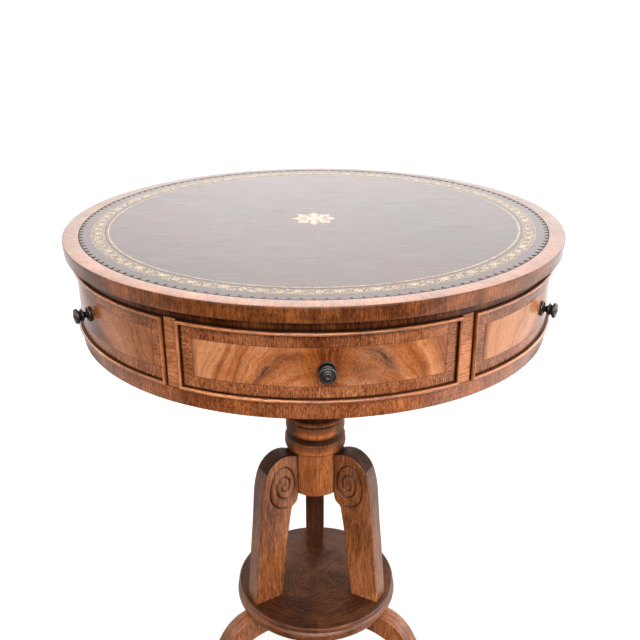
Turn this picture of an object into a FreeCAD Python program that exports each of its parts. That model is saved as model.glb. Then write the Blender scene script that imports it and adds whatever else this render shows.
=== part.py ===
import FreeCAD, Part
import math
import os

# Revolving drum table on a tripod scroll-leg pedestal.
# Millimetres, +Z up, origin on the floor on the table's axis, front drawer facing -Y.
# Azimuths are measured from -Y towards +X.

V = FreeCAD.Vector
os.makedirs("parts", exist_ok=True)

# ---------------------------------------------------------------- driving dimensions
TABLE_H = 730.0            # floor to top surface
TOP_R = 305.0              # radius of the top
TOP_T = 16.5               # thickness shown by the top's edge
LIPPING_W = 19.0           # width of the wooden band round the leather
LEATHER_T = 1.3
DRUM_R = 293.0             # face of rails and stiles
DRUM_RI = 271.0            # inner face of rails and stiles
Z_TOP_UNDER = TABLE_H - TOP_T      # 713.5
Z_RAIL_UP = 701.0          # underside of the upper rail
Z_RAIL_LO = 625.5          # upper side of the lower rail
Z_DRUM_BOT = 607.0         # underside of the drum
FRONT_PITCH = 60.0         # six fronts
DRAWER_EDGE = 28.73        # half angle of a drawer opening
DUMMY_EDGE = 28.35         # half angle of a dummy front
FRONT_R = 292.6            # veneered face of a front
FRONT_RI = 274.0           # inner face of a front
BEAD_R = 297.2             # proud edge of the cock bead
BEAD_RI = 280.0
BEAD_T = 3.8
GAP_ANG = 0.13             # side gap of a front, degrees
GAP_Z = 0.3                # gap of a front above and below
KNOB_SHIFT = 6.0           # the front knob stands a little right of the drawer's middle
KNOB_DROP = 1.4            # and a little below it

FLOOR_Z0, FLOOR_Z1 = 607.6, 622.0
DRAWER_HALF_W = 115.0      # outside of the drawer sides
SIDE_T = 9.0
DRAWER_Z0, DRAWER_Z1 = 627.0, 687.0
DRAWER_BACK_D = 84.0       # distance of the drawer's rear face from the axis
BACK_T = 10.0
BOTTOM_T = 5.0
BOTTOM_Z0 = 632.0
DRAWER_TRAVEL = 115.0

PIVOT_R = 8.0
PIVOT_CLEAR = 0.05
COLUMN_TOP = 585.0
HUB_R = 39.2
HUB_BOT = 341.0
LEG_T = 28.0
LEG_AZ = (-60.0, 60.0, 180.0)
PLATFORM_Z0, PLATFORM_Z1 = 150.0, 175.0
PLATFORM_R = 118.0
FOOT_T = 26.0
FOOT_REACH = 246.0

Z_KNOB = 0.5 * (Z_RAIL_UP + Z_RAIL_LO)


# ---------------------------------------------------------------- helpers
def out(shape, name):
    if isinstance(shape, (list, tuple)):
        shape = Part.makeCompound(list(shape))
    for s in shape.Solids:
        if not s.isValid():
            print("INVALID", name)
    shape.exportStep("parts/%s.step" % name)
    print("%-28s solids %d  volume %.1f cm3" % (name, len(shape.Solids), sum(s.Volume for s in shape.Solids) / 1000.0))


def turned(shape, az):
    s = shape.copy()
    s.rotate(V(0, 0, 0), V(0, 0, 1), az)
    return s


def poly_face(pts):
    return Part.Face(Part.makePolygon(pts + [pts[0]]))


def spline(pts):
    c = Part.BSplineCurve()
    c.interpolate(pts)
    return c.toShape()


def revolved(pts, angle=360.0, start=0.0):
    # pts are (r, z); start is the azimuth of the first face
    f = poly_face([V(r, 0, z) for r, z in pts])
    s = f.revolve(V(0, 0, 0), V(0, 0, 1), angle)
    if s.ShapeType != "Solid":
        s = Part.Solid(s)
    s.rotate(V(0, 0, 0), V(0, 0, 1), start - 90.0)
    return s


def sector(r0, r1, z0, z1, a0, a1):
    return revolved([(r0, z0), (r1, z0), (r1, z1), (r0, z1)], a1 - a0, a0)


def ring(r0, r1, z0, z1):
    return Part.makeCylinder(r1, z1 - z0, V(0, 0, z0)).cut(Part.makeCylinder(r0, z1 - z0 + 2, V(0, 0, z0 - 1)))


def block(x0, x1, d0, d1, z0, z1):
    # x is the lateral place, d the distance in front of the axis (towards -Y)
    return Part.makeBox(x1 - x0, d1 - d0, z1 - z0, V(x0, -d1, z0))


def cyl_within(shape, r):
    return shape.common(Part.makeCylinder(r, 1000.0, V(0, 0, -10)))


def revolve_segments(segs):
    # segs: list of edges in the XZ plane forming one closed wire touching the axis
    w = Part.Wire(Part.__sortEdges__(segs))
    f = Part.Face(w)
    s = f.revolve(V(0, 0, 0), V(0, 0, 1), 360.0)
    return s if s.ShapeType == "Solid" else Part.Solid(s)


def line(a, b):
    return Part.LineSegment(a, b).toShape()


# ---------------------------------------------------------------- top
lip = revolved([(TOP_R - LIPPING_W, Z_TOP_UNDER), (TOP_R - 2.0, Z_TOP_UNDER), (TOP_R - 0.9, Z_TOP_UNDER + 1.0),
                (TOP_R, TABLE_H - 1.3), (TOP_R - 0.4, TABLE_H - 0.4), (TOP_R - 1.3, TABLE_H),
                (TOP_R - LIPPING_W, TABLE_H)])
out(lip, "top_lipping")
core_r = TOP_R - LIPPING_W
top_board = Part.makeCylinder(core_r, TOP_T - LEATHER_T - 0.2, V(0, 0, Z_TOP_UNDER))
leather = Part.makeCylinder(core_r - 0.2, LEATHER_T, V(0, 0, TABLE_H - 0.2 - LEATHER_T))
out(leather, "leather_inset")

# screws that hold the top down, driven up through the upper rail
screw_shapes = []
for k in range(6):
    az = FRONT_PITCH * k
    s = Part.makeCylinder(2.0, 22.0, V(0, -282.0, Z_RAIL_UP + 2.0)).fuse(
        Part.makeCone(4.0, 2.0, 2.4, V(0, -282.0, Z_RAIL_UP)))
    s = turned(s.removeSplitter(), az)
    screw_shapes.append(s)
out(screw_shapes, "top_screws")

# ---------------------------------------------------------------- drum frame
upper_rail = ring(DRUM_RI, DRUM_R, Z_RAIL_UP, Z_TOP_UNDER)
for s in screw_shapes:
    upper_rail = upper_rail.cut(s)
    top_board = top_board.cut(s)
out(top_board, "top_board")
out(upper_rail, "upper_rail")
lower_rail = revolved([(DRUM_RI, Z_DRUM_BOT), (DRUM_R - 1.2, Z_DRUM_BOT), (DRUM_R - 0.35, Z_DRUM_BOT + 0.35),
                       (DRUM_R, Z_DRUM_BOT + 1.2), (DRUM_R, Z_RAIL_LO), (DRUM_RI, Z_RAIL_LO)])
out(lower_rail, "lower_rail")
stiles = []
for az in (0.0, 120.0, -120.0):
    for a0, a1 in ((DRAWER_EDGE, FRONT_PITCH - DUMMY_EDGE), (DUMMY_EDGE - FRONT_PITCH, -DRAWER_EDGE)):
        stiles.append(sector(DRUM_RI, DRUM_R, Z_RAIL_LO, Z_RAIL_UP, az + a0, az + a1))
out(stiles, "drum_stiles")

bush_r = 14.0
drum_floor = Part.makeCylinder(DRUM_RI, FLOOR_Z1 - FLOOR_Z0, V(0, 0, FLOOR_Z0))
drum_floor = drum_floor.cut(Part.makeCylinder(bush_r, 40, V(0, 0, 600)))
out(drum_floor, "drum_floor")
bush = ring(PIVOT_R + PIVOT_CLEAR, bush_r, FLOOR_Z0, FLOOR_Z1).fuse(
    ring(PIVOT_R + PIVOT_CLEAR, 20.0, FLOOR_Z1, FLOOR_Z1 + 1.6)).removeSplitter()
out(bush, "pivot_bush")

runners, guides, kickers, limits = [], [], [], []
for az in (0.0, 120.0, -120.0):
    for sx in (-1, 1):
        lo, hi = (104.0, 115.0)
        x0, x1 = (lo, hi) if sx > 0 else (-hi, -lo)
        runners.append(turned(block(x0, x1, 84.0, 236.0, FLOOR_Z1, 626.6), az))
        kickers.append(turned(block(x0, x1, 90.0, 243.0, DRAWER_Z1 + 0.6, Z_TOP_UNDER), az))
        lo, hi = (115.9, 128.0)
        x0, x1 = (lo, hi) if sx > 0 else (-hi, -lo)
        guides.append(turned(block(x0, x1, 84.0, 236.0, FLOOR_Z1, 641.0), az))
    d = DRAWER_BACK_D + BACK_T + DRAWER_TRAVEL + 0.6
    limits.append(turned(block(-20, 20, d, d + 16.0, 690.0, Z_TOP_UNDER), az))
out(runners, "drawer_runners")
out(guides, "drawer_guides")
out(kickers, "drawer_kickers")
out(limits, "drawer_limit_stops")


# ---------------------------------------------------------------- knobs
def knob_at(az, shift=0.0, drop=0.0):
    # built along +Z from the veneered face (z = 0), then laid on the radial line
    prof = [(0, -15), (2.4, -15), (2.4, 4.2), (3.5, 4.2), (3.3, 5.4), (3.9, 6.6), (5.3, 8.4), (6.9, 10.0),
            (7.5, 10.8), (7.5, 11.6), (6.9, 12.3), (6.9, 12.8), (8.2, 13.4), (8.8, 14.3), (8.8, 15.6), (8.2, 16.6),
            (7.0, 17.1), (6.3, 16.7), (5.6, 16.7), (5.0, 17.4), (3.4, 17.9), (2.2, 17.7), (1.6, 18.5), (0, 18.8)]
    k = poly_face([V(r, 0, z) for r, z in prof]).revolve(V(0, 0, 0), V(0, 0, 1), 360.0)
    k = k if k.ShapeType == "Solid" else Part.Solid(k)
    rp = [(2.4, 0), (8.2, 0), (8.75, 0.8), (8.75, 2.0), (8.2, 3.0), (6.6, 3.7), (4.6, 4.2), (2.4, 4.2)]
    r = poly_face([V(a, 0, b) for a, b in rp]).revolve(V(0, 0, 0), V(0, 0, 1), 360.0)
    r = r if r.ShapeType == "Solid" else Part.Solid(r)
    res = []
    for s in (k, r):
        s.rotate(V(0, 0, 0), V(1, 0, 0), 90.0)        # +Z -> -Y
        s.translate(V(0, -FRONT_R, Z_KNOB - drop))
        s.rotate(V(0, 0, 0), V(0, 0, 1), az + math.degrees(shift / FRONT_R))
        res.append(s)
    return res


# ---------------------------------------------------------------- fronts with cock beads
def front_and_bead(fixed):
    edge = DUMMY_EDGE if fixed else DRAWER_EDGE
    half = edge - GAP_ANG
    z0, z1 = Z_RAIL_LO + GAP_Z, Z_RAIL_UP - GAP_Z
    bt = math.degrees(BEAD_T / BEAD_R)
    if fixed:
        back = sector(FRONT_RI, BEAD_RI, Z_RAIL_LO, Z_RAIL_UP, -edge, edge)
    else:
        back = sector(FRONT_RI, BEAD_RI, z0, z1, -half, half)
    face = sector(BEAD_RI, FRONT_R, z0 + BEAD_T, z1 - BEAD_T, -half + bt, half - bt)
    front = back.fuse(face).removeSplitter()
    bead = sector(BEAD_RI, BEAD_R, z0, z1, -half, half).cut(
        sector(BEAD_RI - 5, BEAD_R + 5, z0 + BEAD_T, z1 - BEAD_T, -half + bt, half - bt))
    edges = []
    for e in bead.Edges:
        p = e.valueAt(e.FirstParameter), e.valueAt(e.LastParameter)
        if all(abs(math.hypot(q.x, q.y) - BEAD_R) < 0.01 for q in p):
            edges.append(e)
    try:
        b2 = bead.makeFillet(1.1, edges)
        if b2.isValid() and len(b2.Solids) == 1:
            bead = b2.Solids[0]
        else:
            print("bead fillet left out")
    except Exception as err:
        print("bead fillet failed", err)
    return front, bead


drawer_front, drawer_bead = front_and_bead(False)
dummy_front, dummy_bead = front_and_bead(True)

# ---------------------------------------------------------------- drawer boxes
ri = FRONT_RI - 0.1
xi = DRAWER_HALF_W - SIDE_T
bottom_raw = cyl_within(block(-xi - 3.5, xi + 3.5, DRAWER_BACK_D, 300.0, BOTTOM_Z0, BOTTOM_Z0 + BOTTOM_T), ri)
side_r = cyl_within(block(xi, DRAWER_HALF_W, DRAWER_BACK_D, 300.0, DRAWER_Z0, DRAWER_Z1), ri).cut(bottom_raw)
side_l = cyl_within(block(-DRAWER_HALF_W, -xi, DRAWER_BACK_D, 300.0, DRAWER_Z0, DRAWER_Z1), ri).cut(bottom_raw)
back = block(-xi, xi, DRAWER_BACK_D, DRAWER_BACK_D + BACK_T, BOTTOM_Z0 + BOTTOM_T, 682.0).fuse(
    block(-18, 18, DRAWER_BACK_D, DRAWER_BACK_D + BACK_T, 682.0, 696.0)).removeSplitter()

for name, az, shift, drop in (("front", 0.0, KNOB_SHIFT, KNOB_DROP), ("right", 120.0, 0.0, 0.0), ("left", -120.0, 0.0, 0.0)):
    k, r = knob_at(az, shift, drop)
    out(turned(drawer_front, az).cut(k), "drawer_%s_face" % name)
    out(turned(drawer_bead, az), "drawer_%s_cock_bead" % name)
    out(turned(side_r, az), "drawer_%s_side_a" % name)
    out(turned(side_l, az), "drawer_%s_side_b" % name)
    out(turned(back, az), "drawer_%s_back" % name)
    out(turned(bottom_raw, az), "drawer_%s_bottom" % name)
    out(k, "drawer_%s_knob" % name)
    out(r.cut(turned(drawer_front, az)), "drawer_%s_knob_rose" % name)
dummy_beads, dummy_knobs, dummy_roses = [], [], []
for name, az in (("right", 60.0), ("left", -60.0), ("rear", 180.0)):
    k, r = knob_at(az)
    out(turned(dummy_front, az).cut(k), "dummy_%s_face" % name)
    dummy_beads.append(turned(dummy_bead, az))
    dummy_knobs.append(k)
    dummy_roses.append(r.cut(turned(dummy_front, az)))
out(dummy_beads, "dummy_cock_beads")
out(dummy_knobs, "dummy_knobs")
out(dummy_roses, "dummy_knob_roses")

# ---------------------------------------------------------------- pivot
block_z0, block_z1 = COLUMN_TOP, 605.0
tenon_r, tenon_top = 20.0, 600.0
bolt_z0, bolt_z1 = 530.0, 646.0
bolt = Part.makeCylinder(PIVOT_R, bolt_z1 - bolt_z0, V(0, 0, bolt_z0))
bolt = bolt.fuse(Part.makeCone(PIVOT_R, PIVOT_R - 1.5, 1.5, V(0, 0, bolt_z1))).removeSplitter()
out(bolt, "pivot_bolt")
bearing = revolved([(tenon_r, block_z0), (86, block_z0), (98, block_z0 + 2.5), (106, block_z0 + 8), (110, block_z0 + 15),
                    (110, block_z1), (PIVOT_R, block_z1), (PIVOT_R, tenon_top), (tenon_r, tenon_top)])
out(bearing, "bearing_block")
out(ring(78.0, 104.0, block_z1, 607.2), "slip_ring")
wz = FLOOR_Z1 + 1.6 + 0.3
out(ring(PIVOT_R, 19.0, wz, wz + 2.5), "pivot_washer")
hexa = [V(14.0 * math.cos(math.radians(60 * i)), 14.0 * math.sin(math.radians(60 * i)), wz + 2.5) for i in range(6)]
nut = poly_face(hexa).extrude(V(0, 0, 12.0)).cut(Part.makeCylinder(PIVOT_R, 40, V(0, 0, wz)))
out(nut, "pivot_nut")

# ---------------------------------------------------------------- turned column with collar and hub
hub_dowels = []
for az in LEG_AZ:
    for z in (356.0, 384.0):
        hub_dowels.append(turned(Part.makeCylinder(4.0, 34.0, V(0, -23.0, z), V(0, -1, 0)), az))

P = lambda r, z: V(r, 0, z)
segs = []
a = P(0, HUB_BOT)
straight = [a, P(HUB_R - 0.8, HUB_BOT), P(HUB_R, HUB_BOT + 0.8), P(HUB_R, 405.4), P(40.2, 405.6)]
for i in range(len(straight) - 1):
    segs.append(line(straight[i], straight[i + 1]))
# wide lower ring
segs.append(spline([P(40.2, 405.6), P(41.9, 407.4), P(42.8, 412.4), P(42.6, 417.5), P(41.9, 421.0), P(41.5, 422.6)]))
# hollow above it, fillet, torus
segs.append(spline([P(41.5, 422.6), P(40.0, 423.6), P(38.9, 425.4), P(38.4, 428.0)]))
seq = [P(38.4, 428.0), P(38.4, 430.4), P(39.2, 430.6)]
for i in range(len(seq) - 1):
    segs.append(line(seq[i], seq[i + 1]))
segs.append(spline([P(39.2, 430.6), P(40.5, 433.6), P(41.25, 438.0), P(41.0, 442.4), P(39.9, 446.2), P(38.6, 448.4)]))
seq = [P(38.6, 448.4), P(37.2, 448.9), P(37.2, 450.8), P(41.4, 451.2)]
for i in range(len(seq) - 1):
    segs.append(line(seq[i], seq[i + 1]))
segs.append(spline([P(41.4, 451.2), P(42.5, 452.2), P(42.8, 453.6), P(42.3, 454.8)]))
# ledge and the vase-shaped shaft above
segs.append(spline([P(42.3, 454.8), P(38.0, 456.6), P(33.5, 459.5), P(30.6, 464.0)]))
seq = [P(30.6, 464.0), P(30.6, 466.5), P(28.8, 467.0)]
for i in range(len(seq) - 1):
    segs.append(line(seq[i], seq[i + 1]))
segs.append(spline([P(28.8, 467.0), P(33.4, 476.0), P(37.4, 490.0), P(37.6, 504.0), P(33.6, 522.0), P(28.0, 540.0),
                    P(25.0, 552.0), P(24.6, 558.0)]))
seq = [P(24.6, 558.0), P(28.6, 558.6)]
segs.append(line(*seq))
segs.append(spline([P(28.6, 558.6), P(31.4, 560.6), P(32.2, 563.4), P(31.4, 566.2), P(28.6, 568.2)]))
segs.append(line(P(28.6, 568.2), P(27.2, 568.8)))
segs.append(spline([P(27.2, 568.8), P(28.2, 574.0), P(31.6, 579.6), P(37.0, 583.6), P(42.0, COLUMN_TOP)]))
seq = [P(42.0, COLUMN_TOP), P(tenon_r, COLUMN_TOP), P(tenon_r, tenon_top), P(0, tenon_top), a]
for i in range(len(seq) - 1):
    segs.append(line(seq[i], seq[i + 1]))
column = revolve_segments(segs)
column = column.cut(bolt)
for d in hub_dowels:
    column = column.cut(d)
out(column, "pedestal_column")

# ---------------------------------------------------------------- scroll legs
# outline in the leg's own plane: (distance from axis, height)
LEG_OUTER = [(39.7, 402.6), (47.6, 405.5), (56.7, 406.4), (65.3, 404.6), (73.2, 399.9), (79.0, 394.3), (83.0, 388.4),
             (86.9, 379.6), (90.0, 367.7), (92.0, 355.8), (93.4, 342.0), (94.5, 326.5), (95.8, 310.3), (97.2, 293.9),
             (98.9, 276.5), (101.8, 245.0), (104.9, 210.0), (108.0, PLATFORM_Z1)]
LEG_INNER_LOW = [(66.0, PLATFORM_Z1), (62.4, 205.0), (58.6, 240.0), (54.0, 277.0), (50.0, 303.0), (47.0, 320.4)]
LEG_ROUNDEL = [(47.0, 320.4), (45.3, 323.2), (42.0, 325.6), (39.4, 328.4), (38.0, 331.2), (37.4, 333.8), (37.0, 336.6), (34.0, 339.0),
               (22.0, 340.0)]


def leg_plane(pts):
    return [V(0, -r, z) for r, z in pts]


def plate(edges, thick):
    w = Part.Wire(Part.__sortEdges__(edges))
    f = Part.Face(w)
    s = f.extrude(V(thick, 0, 0))
    s.translate(V(-thick / 2.0, 0, 0))
    return s


o = leg_plane(LEG_OUTER)
il = leg_plane(LEG_INNER_LOW)
ro = leg_plane(LEG_ROUNDEL)
top_in = V(0, -22.0, 402.2)
leg = plate([line(top_in, o[0]), spline(o), line(o[-1], il[0]), spline(il), spline(ro), line(ro[-1], top_in)], LEG_T)
long_edges = []
for e in leg.Edges:
    b = e.BoundBox
    if b.XLength < 0.01 and b.ZLength > 20 and b.ZMax > PLATFORM_Z1 + 30 and b.YMin < -40:
        long_edges.append(e)
try:
    l2 = leg.makeFillet(1.2, long_edges)
    if l2.isValid() and len(l2.Solids) == 1:
        leg = l2.Solids[0]
    else:
        print("leg edge rounding left out")
except Exception as err:
    print("leg edge rounding failed", err)
leg = leg.cut(Part.makeCylinder(HUB_R, 200.0, V(0, 0, 300.0)))

screws = []
for az in LEG_AZ:
    s = Part.makeCylinder(2.5, 50.0, V(0, -87.0, PLATFORM_Z0 + 3.5)).fuse(
        Part.makeCylinder(5.0, 3.5, V(0, -87.0, PLATFORM_Z0))).removeSplitter()
    screws.append(turned(s, az))
out(screws, "leg_screws")
foot_dowels = []
for az in LEG_AZ:
    for d in (64.0, 104.0):
        foot_dowels.append(turned(Part.makeCylinder(4.0, 34.0, V(0, -d, PLATFORM_Z0 - 18.0)), az))
out(foot_dowels, "foot_dowels")
out(hub_dowels, "hub_dowels")

names = {-60.0: "front_left", 60.0: "front_right", 180.0: "rear"}
for i, az in enumerate(LEG_AZ):
    s = turned(leg, az).cut(screws[i]).cut(hub_dowels[2 * i]).cut(hub_dowels[2 * i + 1])
    out(s, "scroll_leg_" + names[az])

# ---------------------------------------------------------------- platform
plat = revolved([(0, PLATFORM_Z0), (PLATFORM_R - 8, PLATFORM_Z0), (PLATFORM_R - 4, PLATFORM_Z0 + 1.4),
                 (PLATFORM_R - 1.2, PLATFORM_Z0 + 4.2), (PLATFORM_R, PLATFORM_Z0 + 8.6), (PLATFORM_R - 0.9, PLATFORM_Z0 + 13.2),
                 (PLATFORM_R - 3.4, PLATFORM_Z0 + 16.6), (PLATFORM_R - 3.4, PLATFORM_Z0 + 19.0),
                 (PLATFORM_R - 2.2, PLATFORM_Z0 + 20.2), (PLATFORM_R - 1.8, PLATFORM_Z0 + 22.0),
                 (PLATFORM_R - 2.4, PLATFORM_Z0 + 24.0), (PLATFORM_R - 4.2, PLATFORM_Z1), (0, PLATFORM_Z1)])
for s in screws + foot_dowels:
    plat = plat.cut(s)
out(plat, "platform")

# ---------------------------------------------------------------- sabre feet
FOOT_UPPER = [(113.0, PLATFORM_Z0), (129.0, 145.6), (146.0, 133.0), (159.5, 114.0), (171.0, 90.0), (183.5, 65.0),
              (199.0, 43.0), (216.0, 28.5), (231.0, 20.5), (FOOT_REACH, 17.5)]
FOOT_LOWER = [(212.0, 0.0), (203.0, 5.5), (188.0, 19.5), (173.0, 41.0), (160.0, 66.0), (147.0, 89.0), (131.0, 106.0),
              (110.0, 115.0), (84.0, 118.6), (54.0, 119.5)]
fu = leg_plane(FOOT_UPPER)
fl = leg_plane(FOOT_LOWER)
heel = V(0, -FOOT_REACH, 0)
top_in = V(0, -54.0, PLATFORM_Z0)
foot = plate([line(top_in, fu[0]), spline(fu), line(fu[-1], heel), line(heel, fl[0]), spline(fl), line(fl[-1], top_in)],
             FOOT_T)
edges = []
for e in foot.Edges:
    b = e.BoundBox
    if b.XLength < 0.01 and b.ZLength > 60:
        edges.append(e)
try:
    f2 = foot.makeFillet(1.2, edges)
    if f2.isValid() and len(f2.Solids) == 1:
        foot = f2.Solids[0]
    else:
        print("foot edge rounding left out")
except Exception as err:
    print("foot edge rounding failed", err)
for i, az in enumerate(LEG_AZ):
    s = turned(foot, az).cut(foot_dowels[2 * i]).cut(foot_dowels[2 * i + 1])
    out(s, "sabre_foot_" + names[az])
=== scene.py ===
import bmesh
import bpy
import math
import numpy as np
from mathutils import Matrix, Vector
from mathutils.geometry import delaunay_2d_cdt


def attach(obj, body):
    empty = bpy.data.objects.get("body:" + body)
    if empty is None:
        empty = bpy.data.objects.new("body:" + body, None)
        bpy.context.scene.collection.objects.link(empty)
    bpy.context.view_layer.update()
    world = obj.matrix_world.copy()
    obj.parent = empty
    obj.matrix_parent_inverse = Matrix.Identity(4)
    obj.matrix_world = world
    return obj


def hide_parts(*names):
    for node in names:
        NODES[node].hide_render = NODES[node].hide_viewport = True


# Looks of a revolving drum table with a tooled leather top, flame-veneered fronts and a scroll-leg pedestal.
# Lengths in the builders below are millimetres unless a name says otherwise; meshes are in metres.

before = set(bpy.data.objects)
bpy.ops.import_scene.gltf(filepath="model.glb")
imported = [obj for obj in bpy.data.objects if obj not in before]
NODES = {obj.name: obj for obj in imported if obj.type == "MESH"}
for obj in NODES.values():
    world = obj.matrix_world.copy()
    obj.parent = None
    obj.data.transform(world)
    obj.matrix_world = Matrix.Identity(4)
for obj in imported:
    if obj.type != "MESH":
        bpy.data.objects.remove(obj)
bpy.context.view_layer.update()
scene = bpy.context.scene
MM = 0.001

TABLE_H = 730.0
TOP_R = 305.0
DRUM_R, DRUM_RI = 293.0, 271.0
Z_TOP_UNDER, Z_RAIL_UP, Z_RAIL_LO, Z_DRUM_BOT = 713.5, 701.0, 625.5, 607.0
DRAWER_EDGE, DUMMY_EDGE = 28.73, 28.35
FRONT_R, FRONT_RI = 292.6, 274.0
BEAD_R, BEAD_RI, BEAD_T = 297.2, 280.0, 3.8
GAP_ANG, GAP_Z = 0.13, 0.3
Z_KNOB = 0.5 * (Z_RAIL_UP + Z_RAIL_LO)
KNOB_SHIFT, KNOB_DROP = 6.0, 1.4
LEATHER_Z = 729.8
LEATHER_R = 285.8


# ------------------------------------------------------------------ mesh building
class Builder:
    """Collects grids and polygons with a UV place for every face corner, then welds them into one mesh."""

    def __init__(self):
        self.v, self.f, self.uv, self.m, self.n = [], [], [], [], 0
        self.att = []

    def points(self, pts, att=None):
        pts = np.asarray(pts, float).reshape(-1, 3)
        first = self.n
        self.v.append(pts)
        self.att.append(np.zeros(len(pts)) if att is None else np.asarray(att, float).ravel())
        self.n += len(pts)
        return first

    def grid(self, P, UV, cu=False, cv=False, mat=0, att=None):
        nu, nv = P.shape[:2]
        first = self.points(P, att)
        A, B = np.meshgrid(np.arange(nu if cu else nu - 1), np.arange(nv if cv else nv - 1), indexing="ij")
        A, B = A.ravel(), B.ravel()

        def at(a, b):
            return first + (a % nu) * nv + (b % nv)

        q = np.stack([at(A, B), at(A + 1, B), at(A + 1, B + 1), at(A, B + 1)], 1)
        w = np.stack([UV[A, B], UV[A + 1, B], UV[A + 1, B + 1], UV[A, B + 1]], 1)
        self.f.extend(q.tolist())
        self.uv.append(w.reshape(-1, 2))
        shape = (nu if cu else nu - 1, nv if cv else nv - 1)
        self.m.extend(np.broadcast_to(np.asarray(mat, int), shape).ravel().tolist())

    def poly(self, pts, uv=None, mat=0):
        pts = np.asarray(pts, float)
        first = self.points(pts)
        self.f.append(list(range(first, first + len(pts))))
        self.uv.append(np.asarray(uv if uv is not None else pts[:, :2] * 1.0, float))
        self.m.append(mat)

    def faces(self, first, tris, uv, mat=0):
        self.f.extend((np.asarray(tris) + first).tolist())
        self.uv.append(np.asarray(uv, float).reshape(-1, 2))
        self.m.extend([mat] * len(tris))

    def done(self, name, mats, sharp=32.0, weld=2e-6, att_name=None):
        me = bpy.data.meshes.new(name)
        me.from_pydata(np.concatenate(self.v).tolist(), [], self.f)
        lay = me.uv_layers.new(name="grain")
        lay.uv.foreach_set("vector", np.concatenate(self.uv).astype(np.float32).ravel())
        me.polygons.foreach_set("material_index", np.array(self.m, np.int32))
        if att_name:
            a = me.attributes.new(att_name, "FLOAT", "POINT")
            a.data.foreach_set("value", np.concatenate(self.att).astype(np.float32))
        for m in mats if isinstance(mats, (list, tuple)) else [mats]:
            me.materials.append(m)
        bm = bmesh.new()
        bm.from_mesh(me)
        if weld:
            bmesh.ops.remove_doubles(bm, verts=bm.verts, dist=weld)
        bmesh.ops.recalc_face_normals(bm, faces=bm.faces)
        bm.to_mesh(me)
        bm.free()
        me.polygons.foreach_set("use_smooth", np.ones(len(me.polygons), bool))
        me.set_sharp_from_angle(angle=math.radians(sharp))
        me.update()
        ob = bpy.data.objects.new(name, me)
        scene.collection.objects.link(ob)
        return ob


def place(ob, body, nodes=()):
    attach(ob, body)
    if nodes:
        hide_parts(*nodes)
    return ob


def catmull(pts, n=8):
    """Smooth curve through the points, n steps to a span."""
    p = np.asarray(pts, float)
    q = np.vstack([2 * p[0] - p[1], p, 2 * p[-1] - p[-2]])
    out = []
    for i in range(1, len(q) - 2):
        p0, p1, p2, p3 = q[i - 1], q[i], q[i + 1], q[i + 2]
        d0, d1, d2 = (max(np.linalg.norm(b - a), 1e-9) ** 0.5 for a, b in ((p0, p1), (p1, p2), (p2, p3)))
        t0, t1 = 0.0, d0
        t2 = t1 + d1
        t3 = t2 + d2
        for t in np.linspace(t1, t2, n, endpoint=False):
            a1 = (t1 - t) / (t1 - t0) * p0 + (t - t0) / (t1 - t0) * p1
            a2 = (t2 - t) / (t2 - t1) * p1 + (t - t1) / (t2 - t1) * p2
            a3 = (t3 - t) / (t3 - t2) * p2 + (t - t2) / (t3 - t2) * p3
            b1 = (t2 - t) / (t2 - t0) * a1 + (t - t0) / (t2 - t0) * a2
            b2 = (t3 - t) / (t3 - t1) * a2 + (t - t1) / (t3 - t1) * a3
            out.append((t2 - t) / (t2 - t1) * b1 + (t - t1) / (t2 - t1) * b2)
    out.append(p[-1])
    return np.array(out)


def joined(*runs):
    """Runs of (r, z) points put end to end, without repeats."""
    out = []
    for r in runs:
        for p in np.asarray(r, float):
            if not out or np.hypot(*(p - out[-1])) > 1e-4:
                out.append(p)
    return np.array(out)


def on_drum(az, r, z):
    """Metres at azimuth az (degrees, from -Y towards +X), radius and height in mm."""
    a = np.radians(az)
    r, z, a = np.broadcast_arrays(np.asarray(r, float), np.asarray(z, float), a)
    return np.stack([r * np.sin(a), -r * np.cos(a), z], -1) * MM


def revolve(b, prof, nseg, ref_r, closed=True, mat=0, att=None):
    prof = np.asarray(prof, float)
    az = np.linspace(0, 360, nseg, endpoint=False)
    P = on_drum(az[:, None], prof[None, :, 0], prof[None, :, 1])
    loop = np.vstack([prof, prof[:1]]) if closed else prof
    s = np.concatenate([[0], np.cumsum(np.hypot(*np.diff(loop, axis=0).T))])
    u = np.radians(np.linspace(0, 360, nseg + 1)) * ref_r
    UV = np.stack(np.broadcast_arrays(u[:, None], s[None, :]), -1) * MM
    b.grid(P, UV, cu=True, cv=closed, mat=mat, att=att)


def axis_turned(b, prof, az, r0, z0, nseg=48, mat=0):
    """Turns a profile of (radius, outward distance) about the radial line at azimuth az."""
    prof = np.asarray(prof, float)
    a = math.radians(az)
    out = np.array([math.sin(a), -math.cos(a), 0.0])
    lat = np.array([math.cos(a), math.sin(a), 0.0])
    th = np.radians(np.linspace(0, 360, nseg, endpoint=False))
    P = (out[None, None] * (r0 + prof[None, :, 1, None])
         + lat[None, None] * (prof[None, :, 0, None] * np.cos(th)[:, None, None])
         + np.array([0, 0, 1.0])[None, None] * (prof[None, :, 0, None] * np.sin(th)[:, None, None])
         + np.array([0, 0, z0])[None, None]) * MM
    s = np.concatenate([[0], np.cumsum(np.hypot(*np.diff(prof, axis=0).T))])
    u = np.radians(np.linspace(0, 360, nseg + 1)) * 7.0
    UV = np.stack(np.broadcast_arrays(u[:, None], s[None, :]), -1) * MM
    b.grid(P, UV, cu=True, mat=mat)


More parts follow.
